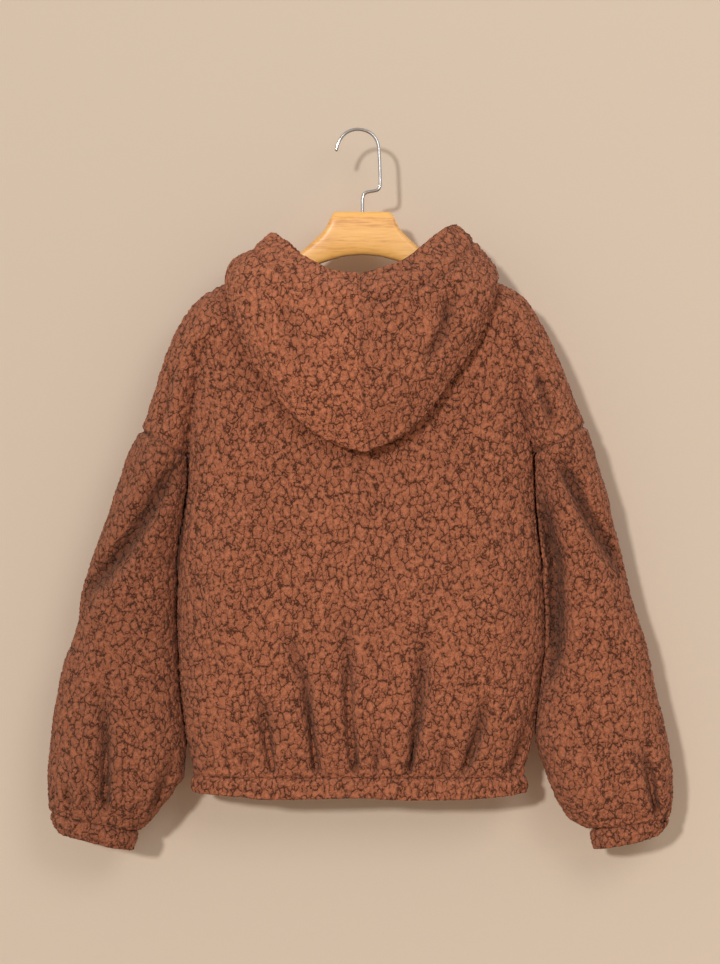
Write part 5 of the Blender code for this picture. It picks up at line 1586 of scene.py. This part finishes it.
@dataclass(frozen=True)
class SherpaLook:
    """Colours of the curly pile, linear, with painted shade in its cracks and dips, and the sizes of
    its cracks, in millimetres.

    Attributes:
        crevice: painted shade at the bottom of a crack.
        flank: colour of a clump's side, darkened as painted shade.
        body: its colour over most of its top.
        tip: colour of the lightest curls.
        clump: mean width of a clump between cracks.
        curl: mean width of the curls on a clump.
        fibre: size of the finest fibres.
        patch: size of the patches where cracks open or close.
        shut: noise levels where a crack is most shut and most open, and its strength there.
        bends: size and reach of the waves that bend the cracks.
        upright: how much a crack's pattern is stretched upright.
        tone: how the colour's tone is made up.
        relief: how the relief's height is made up.
        drift: size of the broad drifts in brightness.
        drift_ends: how dark and how bright they go.
        deep: how bright a full crease stays under its painted shade.
        relief_reach: distance over which the relief acts.
    """

    crevice: tuple[float, float, float] = (0.065, 0.018, 0.007)
    flank: tuple[float, float, float] = (0.215, 0.066, 0.031)
    body: tuple[float, float, float] = (0.355, 0.115, 0.054)
    tip: tuple[float, float, float] = (0.47, 0.168, 0.085)
    clump: float = 7.4
    curl: float = 3.0
    fibre: float = 1.1
    patch: float = 6.0
    shut: tuple[float, float, float, float] = (0.36, 0.56, 0.3, 1.0)
    bends: tuple[tuple[float, float], ...] = ((9.0, 5.0), (3.0, 3.4), (1.3, 1.4))
    upright: float = 0.62
    tone: CrackTone = CrackTone(0.78, 0.42, ((0.13, 0.6), (0.3, 0.16)))
    relief: CrackTone = CrackTone(1.0, 0.14, ((0.42, 0.7), (0.4, 0.3)))
    drift: float = 60.0
    drift_ends: tuple[float, float] = (0.93, 1.07)
    deep: float = 0.5
    relief_reach: float = 3.2

    def cracks(self) -> bpy.types.NodeTree:
        """Node group that turns a place into the pile's tone, with painted shade that darkens it in
        cracks, and its height.
        """
        n, starts, ends = new_group("sherpa_cracks", (), ("Tone", "Height"))
        place = bent = starts[0]
        for size, reach in self.bends:
            wave = n.add("TexNoise", place, Scale=1 / (size * MM), Detail=2.0)
            centred = n.math("SUBTRACT", wave.outputs["Color"], (0.5,) * 3, kind="VectorMath")
            bent = n.math("MULTIPLY_ADD", centred, (reach * MM,) * 3, bent, kind="VectorMath")
        bent = n.math("MULTIPLY", bent, (1.0, 1.0, self.upright), kind="VectorMath")
        low, high, least, most = self.shut
        shut = n.spread(n.noise(place, 1 / (self.patch * MM), Detail=2.0),
                        From_Min=low, From_Max=high, To_Min=least, To_Max=most)
        edges = [n.add("TexVoronoi", bent, feature="DISTANCE_TO_EDGE",
                       Scale=1 / (size * MM)).outputs["Distance"]
                 for size in (self.clump, self.curl)]
        fibre = n.noise(place, 1 / (self.fibre * MM), Detail=3.0, Roughness=0.65)
        for end, kind in zip(ends, (self.tone, self.relief)):
            total = n.math("MULTIPLY_ADD", fibre, kind.grain, kind.base)
            for line, (wide, share) in zip(edges, kind.cuts):
                cut = n.spread(line, interpolation_type="SMOOTHSTEP", From_Min=0.0,
                               From_Max=wide, To_Min=-share, To_Max=0.0)
                total = n.math("MULTIPLY_ADD", cut, shut, total)
            n.feed(end, total)
        return n.tree

    def material(self) -> bpy.types.Material:
        """The sherpa's material, with painted shade in cracks, dips between clumps, creases and seams,
        and painted light and shade per piece.
        """
        made, n, shader = new_material(
            "sherpa", Roughness=0.92, Sheen_Weight=0.12, Sheen_Roughness=0.55,
            Specular_IOR_Level=0.2, Sheen_Tint=(0.9, 0.6, 0.45, 1))
        place = n.place()
        pile, crease, painted_light = (n.add("Attribute", attribute_name=name).outputs["Fac"]
                             for name in LAYERS)
        tone, height = n.add("Group", place, node_tree=self.cracks()).outputs
        # painted shade: the colour darkens from the clumps' tops down into the dips and cracks between
        # them
        level = n.math("SUBTRACT", n.math("MULTIPLY_ADD", pile, 0.16, tone), 0.33)
        colour = n.ramp(level, ((0.18, self.crevice), (0.42, self.flank), (0.68, self.body),
                                (0.92, self.tip)))
        drift = n.spread(n.noise(place, 1 / (self.drift * MM), Detail=2.0),
                         To_Min=self.drift_ends[0], To_Max=self.drift_ends[1])
        # painted shade: darker colour in creases and along seams, from the crease layer
        shade = n.spread(crease, interpolation_type="SMOOTHSTEP", To_Min=1.0, To_Max=self.deep)
        # painted light and shade per piece scales the colour's brightness; the broad drifts are random
        # tone
        value = n.math("MULTIPLY", n.math("MULTIPLY", drift, painted_light), shade)
        final = n.add("HueSaturation", Value=value, Color=colour)
        n.feed(shader.inputs["Base Color"], final.outputs["Color"])
        n.relief(shader, height, 1.0, self.relief_reach)
        return made


def woven_material() -> bpy.types.Material:
    """The zip tape's fine herringbone weave."""
    made, n, shader = new_material("tape", Roughness=0.8, Sheen_Weight=0.15)
    wave = n.add("TexWave", n.place(), wave_type="BANDS", bands_direction="DIAGONAL",
                 Scale=260.0, Distortion=1.5).outputs["Fac"]
    n.feed(shader.inputs["Base Color"],
           n.ramp(wave, ((0.0, (0.1, 0.032, 0.014)), (1.0, (0.25, 0.09, 0.045)))))
    n.relief(shader, wave, 0.5, 0.3)
    return made


def polish() -> bpy.types.NodeTree:
    """Node group that turns a place into a metal's uneven polish at a scale."""
    n, (place, scale, *_), ends = new_group("polish", ("Scale",), ("Polish",))
    n.feed(ends[0], n.noise(place, scale, Detail=3.0))
    return n.tree


def metal_material(name: str, colour: tuple[float, float, float], rough: tuple[float, float],
                   grain_mm: float, uneven: bpy.types.NodeTree) -> bpy.types.Material:
    """A bright metal whose polish varies a little.

    Args:
        name: the material's name.
        colour: its linear colour.
        rough: its least and greatest roughness.
        grain_mm: size of the polish's variation.
        uneven: the polish's node group.

    Returns:
        The material.
    """
    made, n, shader = new_material(name, Metallic=1.0, Base_Color=(*colour, 1))
    grain = n.add("Group", n.place(), 1 / (grain_mm * MM), node_tree=uneven).outputs[0]
    n.feed(shader.inputs["Roughness"], n.spread(grain, To_Min=rough[0], To_Max=rough[1]))
    n.relief(shader, grain, 0.08, 0.1)
    return made


def wood_material() -> bpy.types.Material:
    """Pale beech with fine grain along the bar, under a satin lacquer."""
    made, n, shader = new_material("beech", Roughness=0.42, Coat_Weight=0.25, Coat_Roughness=0.3)
    along = n.add("Mapping", n.place(), Scale=(0.08, 1.0, 1.0)).outputs["Vector"]
    grain = n.noise(along, 520.0, Detail=5.0, Roughness=0.65)
    broad = n.math("MULTIPLY", n.noise(along, 90.0, Detail=2.0), 0.4)
    colour = n.ramp(n.math("MULTIPLY_ADD", grain, 0.6, broad),
                    ((0.33, (0.6, 0.25, 0.055)), (0.47, (0.83, 0.42, 0.105)),
                     (0.66, (0.9, 0.5, 0.15))))
    n.feed(shader.inputs["Base Color"], colour)
    n.relief(shader, grain, 0.12, 0.2)
    return made


# ------------------------------------------------------------ studio
@dataclass(frozen=True)
class StudioSizes:
    """The studio's places and lights, in metres and watts."""

    wall_y: float = 0.062
    wall_half: float = 4.0
    floor_z: float = -1.12
    frame_high: float = 1.1086
    camera_far: float = 3.1
    camera_at: tuple[float, float] = (0.0029, -0.4037)
    wall_colour: tuple[float, float, float] = (0.585, 0.48, 0.378)
    sun_way: tuple[float, float, float] = (0.37, 1.0, -0.25)
    sun_power: float = 1.65
    sun_soft: float = 4.5
    key_at: tuple[float, float, float] = (1.3, -3.0, 1.1)
    key_power: float = 26.0
    rear_power: float = 60.0
    sky: float = 0.53


@dataclass(frozen=True)
class Studio:
    """Wall, floor, lights and camera."""

    sizes: StudioSizes = StudioSizes()

    def build(self) -> None:
        """Builds the stage, its lights and the camera."""
        self._stage()
        self._lights()
        self._camera()
        bpy.context.scene.view_settings.view_transform = "Standard"

    def _paint(self) -> bpy.types.Material:
        """Matt paint, seen from the front only, so that no other view is blocked."""
        made, n, shader = new_material("paint", Roughness=0.95, Specular_IOR_Level=0.1)
        c = self.sizes.wall_colour
        n.feed(shader.inputs["Base Color"],
               n.ramp(n.noise(n.place(), 400.0, Detail=2.0),
                      ((0.0, tuple(0.985 * v for v in c)), (1.0, tuple(1.015 * v for v in c)))))
        mix = n.add("MixShader", n.add("NewGeometry").outputs["Backfacing"], shader.outputs[0],
                    n.add("BsdfTransparent").outputs[0])
        n.feed(made.node_tree.nodes["Material Output"].inputs["Surface"], mix.outputs[0])
        return made

    def _stage(self) -> None:
        """The wall behind the garment and a floor below the picture."""
        s, paint = self.sizes, self._paint()
        for name, turn in (("wall", True), ("floor", False)):
            bm = bmesh.new()
            bmesh.ops.create_grid(bm, x_segments=8, y_segments=8, size=s.wall_half)
            for v in bm.verts:
                x, y, _ = v.co
                v.co = (x, s.wall_y, s.floor_z + y + s.wall_half) if turn else (
                    x, s.wall_y - s.wall_half + y, s.floor_z)
            plane = new_object(name, bm, paint, False)
            plane.visible_shadow = False

    def _light(self, name: str, kind: str, power: float, at: Vector, to: Vector,
               **values: float) -> None:
        """Adds a light that looks at a point."""
        lamp = bpy.data.lights.new(name, kind)
        lamp.energy = power
        for key, value in values.items():
            setattr(lamp, key, value)
        thing = bpy.data.objects.new(name, lamp)
        thing.location = at
        thing.rotation_mode = "QUATERNION"
        thing.rotation_quaternion = (to - at).to_track_quat("-Z", "Y")
        bpy.context.scene.collection.objects.link(thing)

    def _lights(self) -> None:
        """A soft sun beside the camera, a wide lamp at its right, one from behind, and the sky."""
        s = self.sizes
        middle = Vector((0, 0, s.camera_at[1]))
        way = Vector(s.sun_way).normalized()
        self._light("sun", "SUN", s.sun_power, middle - 3 * way, middle,
                    angle=math.radians(s.sun_soft))
        self._light("key", "AREA", s.key_power, Vector(s.key_at), middle, size=1.4)
        self._light("rear", "AREA", s.rear_power, Vector((0.9, 2.6, 0.3)), middle, size=2.0)
        world = bpy.data.worlds.new("sky")
        world.use_nodes = True
        sky = world.node_tree.nodes["Background"]
        sky.inputs["Color"].default_value = (1.0, 0.985, 0.96, 1)
        sky.inputs["Strength"].default_value = s.sky
        bpy.context.scene.world = world

    def _camera(self) -> None:
        """The camera, straight on, with the photograph's frame."""
        s = self.sizes
        lens = bpy.data.cameras.new("camera")
        lens.sensor_width = 36.0
        lens.lens = lens.sensor_width * s.camera_far / s.frame_high
        thing = bpy.data.objects.new("camera", lens)
        thing.location = (s.camera_at[0], -s.camera_far, s.camera_at[1])
        thing.rotation_euler = (math.pi / 2, 0, 0)
        bpy.context.scene.collection.objects.link(thing)
        bpy.context.scene.camera = thing


def main() -> None:
    """Builds the garment, its hanger and the studio, in that order."""
    Studio().build()
    cloth = SherpaLook().material()
    woven = woven_material()
    uneven = polish()
    brass = metal_material("zip_metal", (0.62, 0.6, 0.57), (0.22, 0.4), 1.5, uneven)
    steel = metal_material("wire", (0.5, 0.49, 0.48), (0.12, 0.26), 3.0, uneven)
    made = [Body().build_back(cloth), HemBand().build(cloth)]
    for side in Side:
        sleeve = Sleeve(side)
        made += [Body().build_front(side, cloth), sleeve.build_sleeve(cloth),
                 sleeve.build_cuff(cloth), Hood().build(side, cloth)]
        Zip().build_tape(side, woven)
        Zip().build_teeth(side, brass)
    Hanger().build_bar(wood_material())
    Hanger().build_hook(steel)
    for node in ("zip_slider", "zip_pull"):
        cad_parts[node].data.materials.clear()
        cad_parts[node].data.materials.append(brass)


if __name__ == "__main__":
    logging.basicConfig(level=logging.INFO, format="%(name)s: %(message)s")
    main()
